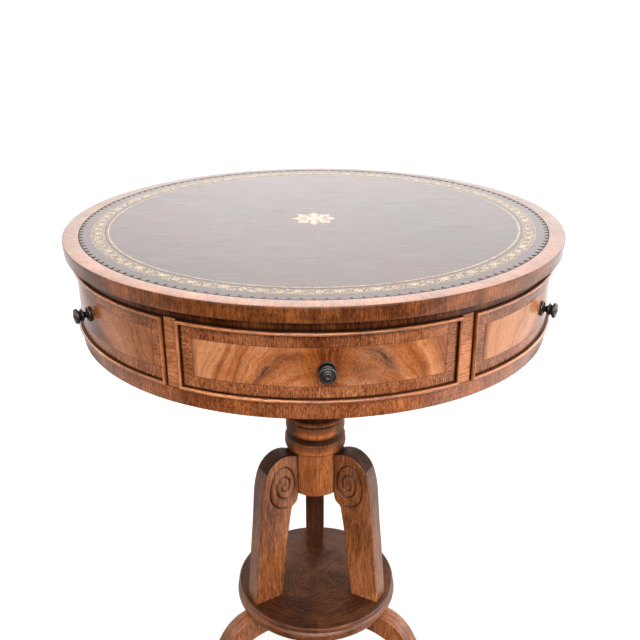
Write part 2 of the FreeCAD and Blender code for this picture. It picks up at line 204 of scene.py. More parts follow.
# ------------------------------------------------------------------ node building
class Nodes:
    """Short hand for a node tree."""

    def __init__(self, tree):
        self.nt = tree

    def node(self, kind):
        return self.nt.nodes.new(kind)

    def put(self, value, socket):
        if isinstance(value, bpy.types.NodeSocket):
            self.nt.links.new(value, socket)
        else:
            socket.default_value = value

    def math(self, op, a, b=None, c=None, clamp=False):
        n = self.node("ShaderNodeMath")
        n.operation = op
        n.use_clamp = clamp
        for value, socket in zip((a, b, c), n.inputs):
            if value is not None:
                self.put(value, socket)
        return n.outputs[0]

    def add(self, a, b):
        return self.math("ADD", a, b)

    def sub(self, a, b):
        return self.math("SUBTRACT", a, b)

    def mul(self, a, b):
        return self.math("MULTIPLY", a, b)

    def low(self, a, b):
        return self.math("MINIMUM", a, b)

    def high(self, a, b):
        return self.math("MAXIMUM", a, b)

    def absolute(self, a):
        return self.math("ABSOLUTE", a)

    def vec(self, x, y, z=0.0):
        n = self.node("ShaderNodeCombineXYZ")
        for value, socket in zip((x, y, z), n.inputs):
            self.put(value, socket)
        return n.outputs[0]

    def split(self, v):
        n = self.node("ShaderNodeSeparateXYZ")
        self.put(v, n.inputs[0])
        return n.outputs[0], n.outputs[1], n.outputs[2]

    def noise(self, v, detail=3.0, rough=0.5, scale=1.0, bend=0.0):
        n = self.node("ShaderNodeTexNoise")
        n.noise_dimensions = "3D"
        self.put(v, n.inputs["Vector"])
        n.inputs["Scale"].default_value = scale
        n.inputs["Detail"].default_value = detail
        n.inputs["Roughness"].default_value = rough
        n.inputs["Distortion"].default_value = bend
        return n.outputs["Fac"]

    def cells(self, v, scale=1.0, feature="F1", spread=1.0, out="Distance"):
        n = self.node("ShaderNodeTexVoronoi")
        n.voronoi_dimensions = "3D"
        n.feature = feature
        self.put(v, n.inputs["Vector"])
        n.inputs["Scale"].default_value = scale
        n.inputs["Randomness"].default_value = spread
        return n.outputs[out]

    def dice(self, w):
        n = self.node("ShaderNodeTexWhiteNoise")
        n.noise_dimensions = "1D"
        self.put(w, n.inputs["W"])
        return n.outputs["Value"]

    def span(self, v, lo, hi, a=0.0, b=1.0, smooth=False):
        n = self.node("ShaderNodeMapRange")
        n.interpolation_type = "SMOOTHSTEP" if smooth else "LINEAR"
        n.clamp = True
        for value, socket in zip((v, lo, hi, a, b), n.inputs):
            self.put(value, socket)
        return n.outputs[0]

    def mix(self, f, a, b, how="MIX"):
        n = self.node("ShaderNodeMix")
        n.data_type = "RGBA"
        n.blend_type = how
        self.put(f, n.inputs[0])
        for value, socket in ((a, n.inputs[6]), (b, n.inputs[7])):
            self.put(value if isinstance(value, bpy.types.NodeSocket) else (*value, 1.0), socket)
        return n.outputs[2]

    def shade(self, colour, f):
        """A colour times a number."""
        n = self.node("ShaderNodeVectorMath")
        n.operation = "SCALE"
        self.put(colour, n.inputs[0])
        self.put(f, n.inputs[3])
        return n.outputs[0]

    def ramp(self, v, stops, how="LINEAR"):
        n = self.node("ShaderNodeValToRGB")
        n.color_ramp.interpolation = how
        e = n.color_ramp.elements
        while len(e) < len(stops):
            e.new(0.5)
        for i, (p, c) in enumerate(stops):
            e[i].position = p
            e[i].color = (*c, 1.0) if not isinstance(c, float) else (c, c, c, 1.0)
        self.put(v, n.inputs[0])
        return n.outputs[0]


class Mat(Nodes):
    def __init__(self, name):
        self.mat = bpy.data.materials.new(name)
        self.mat.use_nodes = True
        super().__init__(self.mat.node_tree)
        self.nt.nodes.clear()
        self.out = self.node("ShaderNodeOutputMaterial")
        self.bsdf = self.node("ShaderNodeBsdfPrincipled")
        self.nt.links.new(self.bsdf.outputs[0], self.out.inputs[0])

    def set(self, **kw):
        for k, v in kw.items():
            s = self.bsdf.inputs[k.replace("_", " ")]
            if isinstance(v, tuple) and len(v) == 3 and s.type == "RGBA":
                v = (*v, 1.0)
            self.put(v, s)
        return self.mat

    def grain(self):
        n = self.node("ShaderNodeUVMap")
        n.uv_map = "grain"
        x, y, _ = self.split(n.outputs[0])
        return self.mul(x, 1000.0), self.mul(y, 1000.0)

    def local(self):
        n = self.node("ShaderNodeTexCoord")
        x, y, z = self.split(n.outputs["Object"])
        return self.mul(x, 1000.0), self.mul(y, 1000.0), self.mul(z, 1000.0)

    def attribute(self, name):
        n = self.node("ShaderNodeAttribute")
        n.attribute_type = "GEOMETRY"
        n.attribute_name = name
        return n.outputs["Fac"]

    def bump(self, height, strength, distance):
        n = self.node("ShaderNodeBump")
        n.inputs["Strength"].default_value = strength
        n.inputs["Distance"].default_value = distance
        self.put(height, n.inputs["Height"])
        self.nt.links.new(n.outputs[0], self.bsdf.inputs["Normal"])


def fibres(m, a, l, seed, wide=1.0):
    """Wood along l, across a, in mm: broad tone, streaks, fine streaks and open pores."""
    bend = m.noise(m.vec(m.mul(a, 0.018), m.mul(l, 0.007), seed), 2.0)
    a2 = m.add(a, m.mul(m.sub(bend, 0.5), 5.0))
    broad = m.noise(m.vec(m.mul(a2, 0.035 * wide), m.mul(l, 0.008), seed + 3.1), 2.0, 0.5)
    streak = m.noise(m.vec(m.mul(a2, 0.62 * wide), m.mul(l, 0.045), seed + 7.7), 3.0, 0.6)
    fine = m.noise(m.vec(m.mul(a2, 1.9), m.mul(l, 0.16), seed + 12.3), 2.0, 0.6)
    pores = m.span(m.noise(m.vec(m.mul(a2, 1.25), m.mul(l, 0.15), seed + 17.9), 1.5, 0.6), 0.545, 0.66, smooth=True)
    return broad, streak, fine, pores


# warm mahogany tones, dark to light
TONE = [(0.120, 0.0310, 0.0080), (0.215, 0.0600, 0.0160), (0.320, 0.0960, 0.0285), (0.435, 0.1430, 0.0460),
        (0.560, 0.2050, 0.0720)]


def tones(m, v, lo, hi, gain=1.0, warm=(1.0, 1.0, 1.0)):
    n = len(TONE)
    return m.ramp(v, [(lo + (hi - lo) * i / (n - 1), tuple(c * gain * w for c, w in zip(TONE[i], warm))) for i in range(n)])


def polish(m, colour, fine, pores, rough=0.15, patch=None, bump=0.12, gloss=0.5):
    spots = m.noise(m.vec(*m.local()), 3.0, 0.6, scale=0.03)
    r = m.add(m.span(spots, 0.3, 0.7, rough - 0.05, rough + 0.08), m.mul(pores, 0.10))
    if patch is not None:
        r = m.add(r, patch)
    m.bump(m.sub(m.mul(fine, 0.5), pores), bump, 0.00022)
    return m.set(Base_Color=colour, Roughness=r, Specular_IOR_Level=gloss, IOR=1.5)


def cross_band(name, seed, gain=1.0, piece=74.0, dirt_and_painted_light=None, rough=0.15, warm=(1.0, 1.0, 1.0), gloss=0.5, att=None, spread=0.11, blotches=0.22,
               grainy=0.0):
    """Veneer laid with its grain across a band: short fibres, leaf after leaf with a joint between."""
    m = Mat(name)
    u, v = m.grain()
    leaf = m.math("FLOOR", m.add(m.mul(u, 1.0 / piece), m.mul(m.noise(m.vec(m.mul(u, 0.008), seed, 0.0), 1.0), 1.4)))
    luck = m.dice(m.add(leaf, seed))
    shift = m.mul(luck, 37.0)
    broad, streak, fine, pores = fibres(m, m.add(u, shift), m.add(v, m.mul(shift, 3.0)), seed, 0.75)
    k = m.add(m.add(m.mul(broad, 0.34), m.mul(streak, 0.44)), m.mul(fine, 0.22))
    if grainy:
        speck = m.noise(m.vec(m.mul(u, 0.70), m.mul(v, 0.22), seed + 71.0), 2.5, 0.65)
        k = m.add(m.mul(k, 1.0 - grainy), m.mul(speck, grainy))
    k = m.add(k, m.span(luck, 0.0, 1.0, -0.025, 0.025))
    col = tones(m, k, 0.5 - spread, 0.5 + spread, gain, warm)
    blotch = m.noise(m.vec(m.mul(u, 0.035), m.mul(v, 0.05), seed + 61.0), 2.5, 0.6)
    col = m.shade(col, m.span(blotch, 0.32, 0.68, 1.0 - blotches, 1.0 + blotches))
    # joints between leaves
    pos = m.add(m.mul(u, 1.0 / piece), m.mul(m.noise(m.vec(m.mul(u, 0.008), seed, 0.0), 1.0), 1.4))
    gap = m.absolute(m.sub(m.math("FRACT", pos), 0.5))
    col = m.shade(col, m.span(gap, 0.4952, 0.4985, 1.0, 0.60))
    col = m.shade(col, m.span(pores, 0.0, 1.0, 1.0, 0.42))
    # this factor darkens the band near the beads; over the upper bead it is a painted shadow
    if dirt_and_painted_light is not None:
        col = m.shade(col, dirt_and_painted_light(m, u, v))
    if att:
        col = m.shade(col, m.span(m.attribute(att), 0.0, 1.0, 1.0, 0.08))
    return polish(m, col, fine, pores, rough, gloss=gloss)


def long_grain(name, seed, gain=1.0, along="v", wide=1.0, rough=0.16, warm=(1.0, 1.0, 1.0), att=None, contrast=1.0, gloss=0.5):
    """Solid wood with its grain along one UV axis."""
    m = Mat(name)
    u, v = m.grain()
    a, l = (u, v) if along == "v" else (v, u)
    broad, streak, fine, pores = fibres(m, a, l, seed, wide)
    k = m.add(m.add(m.mul(broad, 0.38), m.mul(streak, 0.40)), m.mul(fine, 0.22))
    half = 0.12 / contrast
    col = tones(m, k, 0.5 - half, 0.5 + half, gain, warm)
    col = m.shade(col, m.span(pores, 0.0, 1.0, 1.0, 0.46))
    patch = None
    # the attribute darkens the wood where positive (dirt and painted shade) and lightens it where negative (painted
    # highlight)
    if att:
        d = m.attribute(att)
        col = m.shade(col, m.mul(m.span(d, 0.0, 1.0, 1.0, 0.10), m.span(d, -1.0, 0.0, 2.0, 1.0)))
        patch = m.mul(m.high(d, 0.0), 0.3)
    return polish(m, col, fine, pores, rough, patch, gloss=gloss)


def flame(name, seed, half_u, half_v, u0=12.0, gain=1.0, lean=92.0, pale=0.0, arcs=(), depth=1.0, shade_r=0.0, edging=1.12):
    """A front: flame figure inside, mitred crossband round it with a dark string between them.
    arcs are (figure level, side, half length, darkness) of smoky streaks that follow the figure."""
    m = Mat(name)
    u, v = m.grain()
    du = m.sub(half_u, m.absolute(u))
    dv = m.sub(half_v, m.absolute(v))
    e = m.low(du, dv)
    # figure: lines that arch over the middle and stand steep at the ends
    w1 = m.sub(m.noise(m.vec(m.mul(u, 0.016), m.mul(v, 0.018), seed), 1.0), 0.5)
    w2 = m.sub(m.noise(m.vec(m.mul(u, 0.030), m.mul(v, 0.040), seed + 4.0), 1.5), 0.5)
    uw = m.add(u, m.mul(w1, 22.0))
    x = m.absolute(m.sub(uw, u0))
    rise = m.mul(m.math("LOGARITHM", m.add(1.0, m.math("EXPONENT", m.mul(m.sub(x, lean), 0.0625))), math.e), 60.0)
    q = m.add(m.add(v, m.mul(w2, 20.0)), m.add(rise, m.mul(x, 0.30)))
    qn = m.mul(m.math("LOGARITHM", m.add(1.0, m.mul(m.high(m.add(q, 42.0), 1.0), 1.0 / 45.0)), math.e), 45.0)
    band = m.noise(m.vec(m.mul(qn, 0.066), m.mul(u, 0.006), seed + 8.0), 1.5, 0.5)
    strip = m.noise(m.vec(m.mul(qn, 0.34), m.mul(u, 0.018), seed + 15.0), 2.5, 0.55)
    fine = m.noise(m.vec(m.mul(q, 1.1), m.mul(u, 0.30), seed + 21.0), 2.0, 0.6)
    mott = m.noise(m.vec(m.mul(u, 0.045), m.mul(v, 0.06), seed + 29.0), 2.5, 0.6)
    pores = m.span(m.noise(m.vec(m.mul(q, 0.95), m.mul(u, 0.42), seed + 33.0), 2.0, 0.7), 0.525, 0.655, smooth=True)
    k = m.add(m.add(m.mul(band, 0.52), m.mul(strip, 0.20)), m.add(m.mul(fine, 0.14), m.mul(mott, 0.14)))
    k = m.add(m.mul(m.sub(k, 0.5), depth), 0.5)
    k = m.add(k, m.span(x, 4.0, 64.0, -0.012, 0.030, smooth=True))
    k = m.add(k, m.mul(m.mul(m.sub(strip, 0.5), 0.16), m.span(u, -40.0, -84.0)))
    k = m.add(k, m.mul(m.math("EXPONENT", m.mul(m.math("POWER", m.mul(m.add(m.absolute(u), -46.0), 1.0 / 24.0), 2.0), -1.0)), 0.020))
    k = m.add(k, pale)
    smoke = 0.0
    for level, side, reach, dark in arcs:
        near = m.math("EXPONENT", m.mul(m.math("POWER", m.mul(m.sub(q, level), 0.155), 2.0), -1.0))
        where = m.math("EXPONENT", m.mul(m.math("POWER", m.mul(m.sub(u, side), 1.0 / reach), 2.0), -1.0))
        ragged = m.span(m.noise(m.vec(m.mul(q, 0.5), m.mul(u, 0.10), seed + level), 2.0), 0.32, 0.62, 0.35, 1.0)
        smoke = m.add(smoke, m.mul(m.mul(m.mul(near, where), ragged), dark))
    panel = m.ramp(k, [(0.405, tuple(c * gain for c in (0.190, 0.0450, 0.0100))),
                       (0.455, tuple(c * gain for c in (0.350, 0.0960, 0.0250))),
                       (0.500, tuple(c * gain for c in (0.500, 0.1560, 0.0480))),
                       (0.545, tuple(c * gain for c in (0.620, 0.2250, 0.0850))),
                       (0.600, tuple(c * gain for c in (0.730, 0.3100, 0.1400)))])
    panel = m.mix(m.low(smoke, 0.92), panel, (0.105, 0.0370, 0.0240))
    heart = m.math("EXPONENT", m.mul(m.math("POWER", m.mul(x, 1.0 / 26.0), 2.0), -1.0))
    panel = m.mix(m.mul(heart, 0.50), panel, m.mix(1.0, panel, (0.80, 0.56, 0.36), "MULTIPLY"))
    if shade_r:
        side = m.mul(m.span(u, u0 + 4.0, u0 + 26.0, smooth=True), m.span(u, u0 + 48.0, u0 + 82.0, 1.0, 0.0, smooth=True))
        panel = m.mix(m.mul(side, shade_r), panel, m.mix(1.0, panel, (0.62, 0.60, 0.66), "MULTIPLY"))
    # streaks that fan upwards from the heart of the crotch: a dark core, orange beside it
    sway = m.add(u, m.mul(w2, 9.0))
    fan = m.noise(m.vec(m.mul(m.math("DIVIDE", m.sub(sway, u0 - 4.0), m.high(m.add(v, 62.0), 12.0)), 21.0), m.mul(v, 0.045), seed + 51.0), 3.0, 0.62)

    def bell(middle, reach):
        return m.math("EXPONENT", m.mul(m.math("POWER", m.mul(m.sub(u, middle), 1.0 / reach), 2.0), -1.0))

    lift = m.span(v, -34.0, 4.0, 0.72, 1.0, smooth=True)
    core = m.mul(bell(u0 - 6.0, 16.5), lift)
    glow = m.mul(bell(u0 - 20.0, 9.0), m.span(v, -36.0, -4.0, 0.5, 1.0, smooth=True))
    panel = m.mix(m.mul(m.mul(glow, m.span(mott, 0.38, 0.62, 0.35, 1.0)), 0.88), panel, (0.640, 0.1650, 0.0140))
    panel = m.mix(m.mul(core, m.span(fan, 0.42, 0.60, 1.0, 0.58)), panel, (0.125, 0.0230, 0.0030))
    panel = m.mix(m.mul(m.span(fan, 0.55, 0.66), m.mul(bell(u0 - 4.0, 20.0), m.mul(lift, 0.42))), panel, (0.620, 0.1750, 0.0300))
    panel = m.mix(m.mul(m.span(fan, 0.50, 0.38), m.mul(bell(u0 - 10.0, 24.0), m.mul(lift, 0.40))), panel, (0.160, 0.0400, 0.0085))
    dull = m.mul(m.span(du, 13.0, 19.5, 0.46, 0.0, smooth=True), m.span(u, -20.0, 20.0, 1.0, 0.30))
    panel = m.shade(panel, m.sub(1.0, dull))
    # crossband, grain square to the edge
    top = m.math("GREATER_THAN", du, dv)
    a = m.add(m.mul(u, top), m.mul(v, m.sub(1.0, top)))
    l = m.add(m.mul(v, top), m.mul(u, m.sub(1.0, top)))
    broad, streak, fine2, pores2 = fibres(m, a, l, seed + 40.0, 0.9)
    kc = m.add(m.add(m.mul(broad, 0.36), m.mul(streak, 0.42)), m.mul(fine2, 0.22))
    speck = m.noise(m.vec(m.mul(a, 0.70), m.mul(l, 0.24), seed + 71.0), 2.5, 0.65)
    kc = m.add(m.mul(kc, 0.62), m.mul(speck, 0.38))
    cross = tones(m, kc, 0.395, 0.605, gain * edging, (0.97, 1.02, 1.24))
    cross = m.mix(m.mul(m.mul(bell(u0 - 14.0, 26.0), m.span(v, 0.0, 12.0)), 0.92), cross, m.mix(1.0, cross, (0.44, 0.28, 0.14), "MULTIPLY"))
    inside = m.span(e, 12.85, 13.15)
    col = m.mix(inside, cross, panel)
    pore = m.add(m.mul(pores, inside), m.mul(pores2, m.sub(1.0, inside)))
    col = m.shade(col, m.span(pore, 0.0, 1.0, 1.06, 0.40))
    string = m.span(m.absolute(m.sub(e, 13.0)), 0.15, 0.6, 0.50, 1.0)
    mitre = m.high(m.span(m.absolute(m.sub(du, dv)), 0.1, 0.5, 0.60, 1.0), inside)
    # painted shade: the face darkens within 2.6 mm of the bead, where shade falls
    bead_edge_shade = m.span(e, 0.2, 2.6, 0.10, 1.0, smooth=True)
    col = m.shade(m.shade(m.shade(col, string), mitre), bead_edge_shade)
    return polish(m, col, m.add(m.mul(fine, inside), m.mul(fine2, m.sub(1.0, inside))), pore, 0.13)


def plain_wood(name, seed, gain, warm=(1.0, 1.0, 1.0), axis="x", rough=0.42):
    """Unpolished inside wood, by place in the piece's own frame."""
    m = Mat(name)
    x, y, z = m.local()
    l = {"x": x, "y": y, "z": z}[axis]
    others = [c for c, n in ((x, "x"), (y, "y"), (z, "z")) if n != axis]
    a = m.add(others[0], m.mul(others[1], 0.83))
    broad, streak, fine, pores = fibres(m, a, l, seed, 0.8)
    k = m.add(m.add(m.mul(broad, 0.45), m.mul(streak, 0.37)), m.mul(fine, 0.18))
    col = tones(m, k, 0.30, 0.74, gain, warm)
    col = m.shade(col, m.span(pores, 0.0, 1.0, 1.0, 0.65))
    return polish(m, col, fine, pores, rough)


# ------------------------------------------------------------------ materials
# Darker towards both edges of a band: its lower arris and its top edge under the bead.
def rail_darker_edges(lo, hi):
    def f(m, u, v):
        return m.low(m.span(v, lo, lo + 1.6, 0.35, 1.0, smooth=True), m.span(v, hi - 1.6, hi, 1.0, 0.35, smooth=True))
    return f


def rail_painted_shadow(m, u, v):
    """Painted shadow: the bottom of the upper rail, in the quirk just over the beads, is darkened where shade falls."""
    return m.span(v, 22.0, 26.5, 0.10, 1.0, smooth=True)


M_LIP = cross_band("crossband_edge", 3.0, 0.86, 81.0, warm=(1.0, 0.92, 0.80), att="soil_and_painted_light", spread=0.12, blotches=0.42, grainy=0.32)
M_LIP_TOP = cross_band("crossband_top", 5.0, 1.10, 81.0, warm=(1.0, 1.06, 1.12), att="soil_and_painted_light", spread=0.20, gloss=0.38)
# the upper rail carries a painted shadow just over the beads
M_RAIL_UP = cross_band("rail_upper", 13.0, 0.50, 120.0, rail_painted_shadow, warm=(1.0, 0.86, 0.72), gloss=0.25)
M_RAIL_LO = cross_band("rail_lower", 23.0, 1.16, 96.0, rail_darker_edges(20.8, 39.9), warm=(1.0, 0.95, 0.95), spread=0.11, gloss=0.68, grainy=0.42)
M_STILE = long_grain("stile_wood", 31.0, 1.38, "u", 0.9, 0.16, (1.0, 1.06, 1.25), att="soil_and_painted_light")
M_BEAD = long_grain("bead_wood", 37.0, 1.62, "u", 1.0, 0.11, (1.0, 1.06, 1.18), att="soil_and_painted_light", gloss=1.0)
M_TURNED = long_grain("turned_wood", 43.0, 1.28, "v", 0.8, 0.17, att="soil_and_painted_light", gloss=0.17, contrast=0.72)
M_LEG = long_grain("leg_wood", 51.0, 0.93, "v", 0.6, 0.18, (1.0, 1.04, 1.15), att="soil_and_painted_light", contrast=1.05, gloss=0.47)
# dark copy of the wood: painted shade in the column's grooves, on the beads' flanks and on the legs' upper rims
M_SHADED_WOOD = long_grain("groove_wood_painted_shade", 45.0, 0.17, "v", 0.8, 0.45, gloss=0.10)
M_PLAT_TOP = long_grain("platform_top", 58.0, 0.60, "u", 0.7, 0.40, att="soil_and_painted_light", gloss=0.15)
M_PLAT = long_grain("platform_wood", 57.0, 0.60, "u", 0.7, 0.22, att="soil_and_painted_light")
M_LINING = plain_wood("lining_oak", 61.0, 1.35, (0.80, 1.25, 2.2), "y", 0.5)
M_LINING_SIDE = plain_wood("lining_side", 67.0, 1.35, (0.80, 1.25, 2.2), "x", 0.5)
M_CARCASE = plain_wood("carcase_wood", 71.0, 0.9, (0.9, 1.1, 1.6), "x", 0.55)


def leather_material():
    m = Mat("dark_leather")
    x, y, z = m.local()
    p = m.vec(x, y, z)
    tooling_and_painted_shadow = m.attribute("tooling_and_painted_shadow")
    broad = m.noise(p, 2.0, 0.5, scale=0.006)
    cloud = m.noise(p, 3.0, 0.6, scale=0.03)
    grain_ = m.noise(p, 3.0, 0.62, scale=0.30, bend=0.6)
    pebble = m.cells(p, 0.50, "SMOOTH_F1")
    brushed = m.noise(m.vec(m.mul(x, 0.014), m.mul(y, 0.17), 5.0), 2.5, 0.6)
    creased = m.noise(m.vec(m.mul(x, 0.035), m.mul(y, 0.24), 11.0), 3.0, 0.62)
    k = m.add(m.add(m.mul(broad, 0.35), m.add(m.mul(cloud, 0.30), m.mul(grain_, 0.35))), m.mul(m.sub(creased, 0.5), 0.34))
    col = m.ramp(k, [(0.40, (0.0200, 0.0030, 0.0016)), (0.50, (0.0420, 0.0070, 0.0034)), (0.60, (0.0700, 0.0130, 0.0060))])
    # dark where tooled, and along the edge, where the dark is a painted shadow
    col = m.mix(tooling_and_painted_shadow, col, (0.0030, 0.0018, 0.0016))
    wear_and_painted_light = m.add(m.mul(m.sub(brushed, 0.5), 0.11), m.mul(m.sub(creased, 0.5), 0.13))
    rough = m.add(m.add(m.span(cloud, 0.3, 0.7, 0.285, 0.315), m.add(m.mul(m.sub(grain_, 0.5), 0.09), wear_and_painted_light)), m.mul(tooling_and_painted_shadow, 0.5))
    m.bump(m.add(m.add(m.mul(pebble, 0.4), m.mul(grain_, 0.5)), m.mul(creased, 0.12)), 0.08, 0.0005)
    return m.set(Base_Color=col, Roughness=rough, Specular_IOR_Level=0.5, IOR=1.5)


def gold_material(name, leaf_tone):
    m = Mat(name)
    x, y, z = m.local()
    p = m.vec(x, y, z)
    wear_and_painted_light = m.span(m.noise(p, 4.0, 0.6, scale=0.16), 0.40, 0.60)
    speck = m.span(m.noise(p, 2.0, 0.6, scale=1.3), 0.34, 0.50)
    cover = m.mul(m.add(0.45, m.mul(wear_and_painted_light, 0.55)), m.add(0.5, m.mul(speck, 0.5)))
    col = m.mix(cover, (0.110, 0.055, 0.026), leaf_tone)
    m.bump(m.noise(p, 2.0, 0.6, scale=1.1), 0.10, 0.0003)
    return m.set(Base_Color=col, Metallic=0.12, Roughness=m.span(wear_and_painted_light, 0.0, 1.0, 0.34, 0.28), Specular_IOR_Level=0.5, IOR=1.5)


def bronze_material(name, gain=1.0, gloss=0.60, shine=(0.16, 0.28)):
    m = Mat(name)
    x, y, z = m.local()
    p = m.vec(x, y, z)
    n = m.noise(p, 4.0, 0.6, scale=0.35)
    col = m.mix(m.span(n, 0.42, 0.66), tuple(c * gain for c in (0.0170, 0.0140, 0.0120)), tuple(c * gain for c in (0.045, 0.030, 0.020)))
    m.bump(m.noise(p, 3.0, 0.6, scale=0.9), 0.08, 0.0003)
    return m.set(Base_Color=col, Metallic=0.0, Roughness=m.span(n, 0.35, 0.7, *shine), Specular_IOR_Level=gloss, IOR=1.6)


def metal_material(name, colour, rough):
    m = Mat(name)
    p = m.vec(*m.local())
    n = m.noise(p, 4.0, 0.6, scale=0.4)
    col = m.mix(m.span(n, 0.35, 0.65), tuple(c * 0.72 for c in colour), colour)
    m.bump(n, 0.06, 0.0003)
    return m.set(Base_Color=col, Metallic=1.0, Roughness=m.span(n, 0.3, 0.7, rough - 0.06, rough + 0.1))


def felt_material():
    m = Mat("felt")
    p = m.vec(*m.local())
    n = m.noise(p, 5.0, 0.7, scale=1.8)
    col = m.mix(n, (0.02, 0.06, 0.035), (0.05, 0.12, 0.07))
    m.bump(n, 0.4, 0.0008)
    return m.set(Base_Color=col, Roughness=0.95, Sheen_Weight=0.4)


M_LEATHER = leather_material()
M_GOLD = gold_material("gold_tooling", (0.56, 0.405, 0.215))
M_GOLD_PALE = gold_material("gold_star_leaf", (0.58, 0.435, 0.295))
M_BRONZE = bronze_material("dark_bronze")
# darker, duller copy of the bronze: painted shade in the hollows of knobs and roses
M_BRONZE_SHADED = bronze_material("bronze_recess_painted_shade", 0.45, 0.12, (0.40, 0.55))
M_STEEL = metal_material("steel", (0.55, 0.55, 0.56), 0.32)
M_BRASS = metal_material("brass", (0.78, 0.56, 0.24), 0.30)
M_FELT = felt_material()

# ------------------------------------------------------------------ top: wooden band
lip = joined([(286.0, 713.5), (303.0, 713.5)],
             catmull([(303.0, 713.5), (303.75, 713.75), (304.2, 714.6)], 4),
             [(304.2, 714.6), (304.9, 727.8)],
             catmull([(304.9, 727.8), (305.0, 728.6), (304.75, 729.4), (304.1, 729.85), (303.2, 730.0)], 4),
             [(303.2, 730.0), (286.5, 730.0)],
             catmull([(286.5, 730.0), (286.15, 729.85), (286.0, 729.5)], 3))
b = Builder()
rim_az = np.arange(480) * 360.0 / 480
age = np.interp(rim_az, [0, 45, 75, 100, 140, 165, 180, 195, 220, 262, 290, 315, 360],
                [0.0, 0.12, 0.42, 0.55, 0.78, 0.93, 0.95, 0.93, 0.80, 0.44, 0.28, 0.12, 0.0])     # darker pieces towards the back
flat_top = lip[:, 1] > 729.99
arris = np.clip(1.0 - np.hypot(lip[:, 0] - 304.75, lip[:, 1] - 729.4) / 0.85, 0, 1) * 0.9
worn_side = np.interp(rim_az, [0, 40, 65, 90, 270, 295, 320, 360], [0.0, 0.04, 0.30, 0.40, 0.22, 0.14, 0.04, 0.0])
soiled = np.where(flat_top[None, :], age[:, None], worn_side[:, None])
revolve(b, lip, 480, TOP_R, att=np.maximum(soiled, arris[None, :]),
        mat=np.where(flat_top & np.roll(flat_top, -1), 1, 0)[None, :])
place(b.done("wooden_top_band", [M_LIP, M_LIP_TOP], 50.0, att_name="soil_and_painted_light"), "drum", ["top_lipping"])

# ------------------------------------------------------------------ top: leather with blind tooling at its edge
TEETH = 151
nth = TEETH * 12
rad = np.unique(np.concatenate([np.linspace(1.0, 240.0, 12), [244.0, 249.0, 254.8, 255.2, 255.6, 256.0, 256.4, 258.0, 262.0, 269.0],
                                np.arange(274.0, 279.1, 1.0), np.arange(279.5, 285.81, 0.45), [LEATHER_R]]))
az = np.linspace(0, 360, nth, endpoint=False)
tooth = np.abs((az / (360.0 / TEETH)) % 1.0 - 0.5) * (2 * math.pi * 284.0 / TEETH)     # mm from the middle of the tooth
inward = (LEATHER_R - 0.4) - rad
wide = 2.35 * np.sqrt(np.clip(1 - (np.clip(inward, 0, 9) / 4.9) ** 2, 0, 1))
rubbed = np.interp(np.abs((az + 180.0) % 360.0 - 180.0), [0, 22, 55, 110, 150, 180], [0.42, 0.55, 1.0, 1.0, 0.75, 0.65])     # worn where one sits
mark = np.clip((wide[None, :] - tooth[:, None]) / 0.9, 0, 1) * (rad[None, :] > 279.0) * rubbed[:, None]
line = np.clip(1 - np.abs(rad - 255.6) / 0.5, 0, 1)[None, :] * 0.30
# painted shadow: the leather's last millimetre is dark, in the gap next to the wooden band
edge = np.clip((rad - (LEATHER_R - 0.95)) / 0.7, 0, 1)[None, :] * np.ones((nth, 1))
tooling_and_painted_shadow = np.maximum(np.maximum(mark, line), edge)
b = Builder()
Ptop = on_drum(az[:, None], rad[None, :], LEATHER_Z - 0.42 * tooling_and_painted_shadow)
UV = np.zeros((nth + 1, len(rad), 2))
b.grid(Ptop, UV, cu=True, att=tooling_and_painted_shadow)
centre = np.repeat(on_drum(az[:, None], np.array([[0.0]]), LEATHER_Z), 1, axis=1)
b.grid(np.concatenate([centre, Ptop[:, :1]], 1), np.zeros((nth + 1, 2, 2)), cu=True)
low = np.concatenate([on_drum(az[:, None], np.array([[0.0]]), 728.5), on_drum(az[:, None], np.array([[LEATHER_R]]), 728.5)], 1)
b.grid(low, np.zeros((nth + 1, 2, 2)), cu=True)
# the leather's edge face is dark too: painted shadow
b.grid(np.concatenate([low[:, 1:], Ptop[:, -1:]], 1), np.zeros((nth + 1, 2, 2)), cu=True, att=np.ones(nth * 2))
place(b.done("leather_top", M_LEATHER, 40.0, att_name="tooling_and_painted_shadow"), "drum", ["leather_inset"])

# ------------------------------------------------------------------ gold tooling on the leather
GOLD_Z0, GOLD_Z1 = LEATHER_Z - 0.06, LEATHER_Z + 0.07


def prism(b, pts, top=None):
    """A leaf-thin closed solid on the leather; pts are (x, y) in mm."""
    pts = np.asarray(pts, float)
    n = len(pts)
    hi = np.column_stack([pts, np.full(n, GOLD_Z1 if top is None else top)]) * MM
    lo = np.column_stack([pts, np.full(n, GOLD_Z0)]) * MM
    first = b.points(np.vstack([hi, lo]))
    b.f.append(list(range(first, first + n)))
    b.f.append(list(range(first + 2 * n - 1, first + n - 1, -1)))
    for i in range(n):
        j = (i + 1) % n
        b.f.append([first + i, first + n + i, first + n + j, first + j])
    b.uv.append(np.zeros((2 * n + 4 * n, 2)))
    b.m.extend([0] * (2 + n))


def bent(pts, rc, at):
    """(s, t) along and across a ring of radius rc, starting at azimuth at (degrees), to (x, y)."""
    pts = np.asarray(pts, float)
    a = np.radians(at) + pts[:, 0] / rc
    r = rc + pts[:, 1]
    return np.column_stack([r * np.sin(a), -r * np.cos(a)])


def oval(cx, cy, a, b_, turn=0.0, n=14):
    t = np.linspace(0, 2 * math.pi, n, endpoint=False)
    c, s = math.cos(turn), math.sin(turn)
    x, y = a * np.cos(t), b_ * np.sin(t)
    return np.column_stack([cx + c * x - s * y, cy + s * x + c * y])


